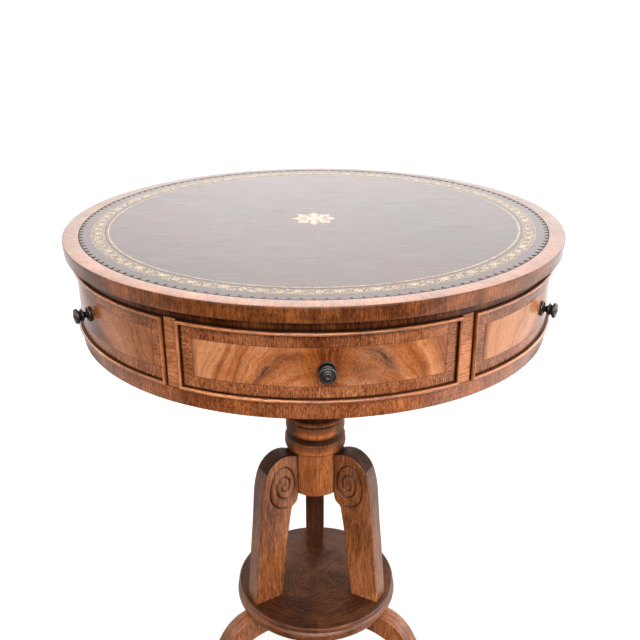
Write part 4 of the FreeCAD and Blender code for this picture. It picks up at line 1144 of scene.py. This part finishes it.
def plate_solid(b, flat, thick, rounding, az, depth=None, taper=None, dirt_and_painted_light=None, rim_painted_shade=None):
    """Both cheeks and the rim of a plate standing in the radial plane at azimuth az."""
    pts, tris, order, edge = flat
    a = math.radians(az)
    radial = np.array([math.sin(a), -math.cos(a), 0.0])
    tang = np.array([math.cos(a), math.sin(a), 0.0])
    half = np.full(len(pts), thick / 2.0) if taper is None else taper(pts)
    k = np.clip(edge / rounding, 0, 1)
    x = half - rounding * (1 - np.sqrt(1 - (1 - k) ** 2))
    cut = np.zeros(len(pts)) if depth is None else depth
    x = x - cut
    # painted shade: the carved groove darkens with its depth
    mark = np.clip(cut / 1.1, 0, 1) * 0.8
    if dirt_and_painted_light is not None:
        mark = np.maximum(mark, dirt_and_painted_light)
    if rim_painted_shade is not None:
        mark[order] = rim_painted_shade(pts[order])

    def at(xs, p):
        return (radial[None] * p[:, :1] + tang[None] * np.asarray(xs)[:, None] + np.array([[0, 0, 1.0]]) * p[:, 1:]) * MM

    for sg in (-1.0, 1.0):
        first = b.points(at(sg * x, pts), mark)
        uv = pts[tris.ravel()] * MM + np.array([0.15 * sg, 0.0])
        b.faces(first, tris, uv)
    rim = pts[order]
    hx = x[order]
    n = len(rim)
    cols = np.linspace(-1, 1, 7)
    P = np.stack([at(hx * c, rim) for c in cols], 1)
    s = np.concatenate([[0], np.cumsum(np.hypot(*np.diff(np.vstack([rim, rim[:1]]), axis=0).T))]) * MM
    UV = np.stack(np.broadcast_arrays((cols * thick / 2 * MM + 0.4)[None, :], s[:, None]), -1)
    if rim_painted_shade is None:
        b.grid(P, UV, cu=True)
    else:
        # the darkest rim parts take the painted-shade wood
        rd = rim_painted_shade(rim)
        b.grid(P, UV, cu=True, att=np.repeat(rd[:, None], len(cols), 1), mat=np.where(rd > 0.84, 1, 0)[:, None])


LEG_OUTER = [(39.7, 402.6), (47.6, 405.5), (56.7, 406.4), (65.3, 404.6), (73.2, 399.9), (79.0, 394.3), (83.0, 388.4), (86.9, 379.6),
             (90.0, 367.7), (92.0, 355.8), (93.4, 342.0), (94.5, 326.5), (95.8, 310.3), (97.2, 293.9), (98.9, 276.5), (101.8, 245.0),
             (104.9, 210.0), (108.0, 175.0)]
LEG_INNER_LOW = [(66.0, 175.0), (62.4, 205.0), (58.6, 240.0), (54.0, 277.0), (50.0, 303.0), (47.0, 320.4)]
LEG_ROUNDEL = [(47.0, 320.4), (45.3, 323.2), (42.0, 325.6), (39.4, 328.4), (38.0, 331.2), (37.4, 333.8), (37.0, 336.6), (36.3, 339.0)]
leg_outline = joined([(36.3, 402.5)], catmull(LEG_OUTER, 8), catmull(LEG_INNER_LOW, 8), catmull(LEG_ROUNDEL, 6))
SPIRAL = [(0.168, -1.336), (0.181, -1.334), (0.216, -1.325), (0.25, -1.292), (0.262, -1.254), (0.261, -1.208), (0.248, -1.16), (0.223, -1.127),
          (0.190, -1.114), (0.160, -1.136), (0.141, -1.181), (0.138, -1.236), (0.151, -1.266), (0.181, -1.283), (0.213, -1.267),
          (0.228, -1.239), (0.229, -1.2), (0.214, -1.176), (0.187, -1.165), (0.167, -1.187), (0.166, -1.218), (0.180, -1.242), (0.198, -1.240),
          (0.205, -1.222), (0.198, -1.206)]
spiral = catmull([(305.0 * r, 730.0 + 305.0 * z) for r, z in SPIRAL], 14)
leg_flat = plate(leg_outline, 1.3, [dict(line=spiral)])
near = to_line(leg_flat[0], spiral, False)
along = np.argmin(np.linalg.norm(leg_flat[0][:, None] - spiral[None, ::6], axis=2), axis=1) / max(1, len(spiral[::6]) - 1)
fade = np.clip(along / 0.05, 0.15, 1)
carve = fade * (1.35 * np.exp(-(near / 0.85) ** 2) + 0.45 * np.exp(-(near / 2.3) ** 2))
carve[leg_flat[3] < 0.05] = 0.0
# painted shade: the cheeks darken next to the hub, near the top
cheek_painted_shade = np.clip(1.0 - (leg_flat[0][:, 0] - 36.6) / 3.0, 0, 1) * (leg_flat[0][:, 1] > 338.0) * 0.85


def leg_rim_painted_shade(pts):
    """Painted shade on the rims: the inner rims are dark, and the outer rim darkens towards the top, under the collar
    and the drum.
    """
    outer = np.interp(pts[:, 1], [175.0, 300.0, 372.0, 388.0, 400.0], [0.36, 0.42, 0.55, 0.86, 0.93])
    return np.where((pts[:, 0] < 75.0) & (pts[:, 1] < 398.0), 0.83, outer)


for az_l, side in ((-60.0, "front_left"), (60.0, "front_right"), (180.0, "rear")):
    b = Builder()
    plate_solid(b, leg_flat, 28.0, 1.3, az_l, carve, dirt_and_painted_light=cheek_painted_shade, rim_painted_shade=leg_rim_painted_shade)
    place(b.done("carved_leg_" + side, [M_LEG, M_SHADED_WOOD], 38.0, att_name="soil_and_painted_light"), "base", ["scroll_leg_" + side])

FOOT_UPPER = [(113.0, 150.0), (129.0, 145.6), (146.0, 133.0), (159.5, 114.0), (171.0, 90.0), (183.5, 65.0), (199.0, 43.0), (216.0, 28.5),
              (231.0, 20.5), (246.0, 17.5)]
FOOT_LOWER = [(212.0, 0.0), (203.0, 5.5), (188.0, 19.5), (173.0, 41.0), (160.0, 66.0), (147.0, 89.0), (131.0, 106.0), (110.0, 115.0),
              (84.0, 118.6), (54.0, 119.5)]
foot_outline = joined([(54.0, 150.0)], catmull(FOOT_UPPER, 8), [(246.0, 0.0)], catmull(FOOT_LOWER, 8))
foot_flat = plate(foot_outline, 1.6)
for az_l, side in ((-60.0, "front_left"), (60.0, "front_right"), (180.0, "rear")):
    b = Builder()
    plate_solid(b, foot_flat, 26.0, 1.6, az_l)
    place(b.done("swept_foot_" + side, M_LEG, 38.0, att_name="soil_and_painted_light"), "base", ["sabre_foot_" + side])

# ------------------------------------------------------------------ finish of the pieces that stay as they are
FINISH = {"drum_floor": M_CARCASE, "top_board": M_CARCASE, "bearing_block": M_CARCASE, "slip_ring": M_FELT, "pivot_bolt": M_STEEL,
          "pivot_washer": M_STEEL, "pivot_nut": M_STEEL, "pivot_bush": M_BRASS, "leg_screws": M_STEEL, "top_screws": M_STEEL,
          "foot_dowels": M_LINING, "hub_dowels": M_LINING, "drawer_runners": M_LINING, "drawer_guides": M_LINING,
          "drawer_kickers": M_LINING, "drawer_limit_stops": M_LINING}
for d in ("front", "right", "left"):
    for part in ("side_a", "side_b", "bottom"):
        FINISH["drawer_%s_%s" % (d, part)] = M_LINING
    FINISH["drawer_%s_back" % d] = M_LINING_SIDE
for n, mat in FINISH.items():
    me = NODES[n].data
    me.materials.clear()
    me.materials.append(mat)

# ------------------------------------------------------------------ floor
m = Mat("pale_floor")
n = m.noise(m.vec(*m.local()), 3.0, 0.5, scale=0.004)
floor_mat = m.set(Base_Color=m.mix(n, (0.86, 0.855, 0.85), (0.90, 0.897, 0.893)), Roughness=0.75, Specular_IOR_Level=0.2)
me = bpy.data.meshes.new("studio_floor")
me.from_pydata([(-30, -30, -0.0004), (30, -30, -0.0004), (30, 30, -0.0004), (-30, 30, -0.0004)], [], [(0, 1, 2, 3)])
me.materials.append(floor_mat)
floor = bpy.data.objects.new("studio_floor", me)
scene.collection.objects.link(floor)
floor.visible_glossy = False
floor.visible_diffuse = False

# ------------------------------------------------------------------ studio light
world = bpy.data.worlds.new("studio")
scene.world = world
world.use_nodes = True
w = Nodes(world.node_tree)
world.node_tree.nodes.clear()
tc = w.node("ShaderNodeTexCoord")
dx, dy, dz = w.split(tc.outputs["Generated"])
flat = w.math("SQRT", w.high(w.add(w.mul(dx, dx), w.mul(dy, dy)), 1e-6))
fc = w.math("DIVIDE", w.mul(dy, -1.0), flat)                   # 1 towards the front, -1 towards the back
right = w.span(dx, -0.05, 0.05)
edge0 = w.add(w.mul(right, 0.72), w.mul(w.sub(1.0, right), 0.62))
edge1 = w.add(w.mul(right, 0.40), w.mul(w.sub(1.0, right), -0.22))
round_ = w.span(fc, edge0, edge1, 0.0, 1.0, smooth=True)
h = w.span(dz, -1.0, 1.0)
back_light = w.mul(w.ramp(h, [(0.0, 0.25), (0.40, 0.35), (0.50, 0.46), (0.605, 0.60), (0.69, 0.88), (0.74, 0.80), (0.80, 0.36), (0.88, 0.30), (1.0, 0.45)]), 4.0)
front_light = w.mul(w.ramp(h, [(0.0, 0.020), (0.46, 0.030), (0.50, 0.13), (0.60, 0.27), (0.70, 0.60), (0.75, 0.88), (0.83, 0.88), (0.875, 0.48), (0.95, 0.38), (1.0, 0.38)]), 4.0)
lateral = w.math("DIVIDE", dx, flat)
centre = w.span(fc, 0.66, 0.94, 0.62, 1.36, smooth=True)
level = w.add(w.mul(back_light, round_), w.mul(w.mul(front_light, centre), w.sub(1.0, round_)))
level = w.mul(level, w.mul(w.span(lateral, -1.0, -0.1, 0.46, 1.0), w.span(lateral, 0.1, 1.0, 1.0, 1.06)))
level = w.mul(level, w.span(w.absolute(lateral), 0.05, 0.28, 1.03, 0.955, smooth=True))
low_back = w.mul(w.span(fc, -0.55, -0.85, 0.0, 1.0, smooth=True), w.span(dz, -0.36, -0.46, 0.0, 0.85, smooth=True))
level = w.mul(level, w.sub(1.0, low_back))
path = w.node("ShaderNodeLightPath")
seen = path.outputs["Is Camera Ray"]
strength = w.add(w.mul(seen, 1.05), w.mul(w.sub(1.0, seen), level))
bg = w.node("ShaderNodeBackground")
bg.inputs["Color"].default_value = (1.0, 0.995, 0.985, 1.0)
w.put(strength, bg.inputs["Strength"])
wo = w.node("ShaderNodeOutputWorld")
world.node_tree.links.new(bg.outputs[0], wo.inputs[0])

scene.view_settings.view_transform = "Standard"
scene.view_settings.look = "None"
scene.view_settings.exposure = 0.0
scene.view_settings.gamma = 1.0

# ------------------------------------------------------------------ camera
yaw, pitch, roll = math.radians(1.496), math.radians(22.462), math.radians(-0.156)
fw = Vector((math.sin(yaw) * math.cos(pitch), math.cos(yaw) * math.cos(pitch), -math.sin(pitch)))
rt = Vector((math.cos(yaw), -math.sin(yaw), 0.0))
up = rt.cross(fw)
rt2 = rt * math.cos(roll) + up * math.sin(roll)
up2 = -rt * math.sin(roll) + up * math.cos(roll)
cam_data = bpy.data.cameras.new("camera")
cam = bpy.data.objects.new("camera", cam_data)
scene.collection.objects.link(cam)
place_m = Matrix(((rt2.x, up2.x, -fw.x, -0.0187), (rt2.y, up2.y, -fw.y, -0.9883), (rt2.z, up2.z, -fw.z, 1.0004), (0, 0, 0, 1)))
cam.matrix_world = place_m
cam_data.sensor_width = 36.0
cam_data.lens = 45.482
cam_data.clip_start = 0.05
cam_data.clip_end = 200.0
scene.camera = cam
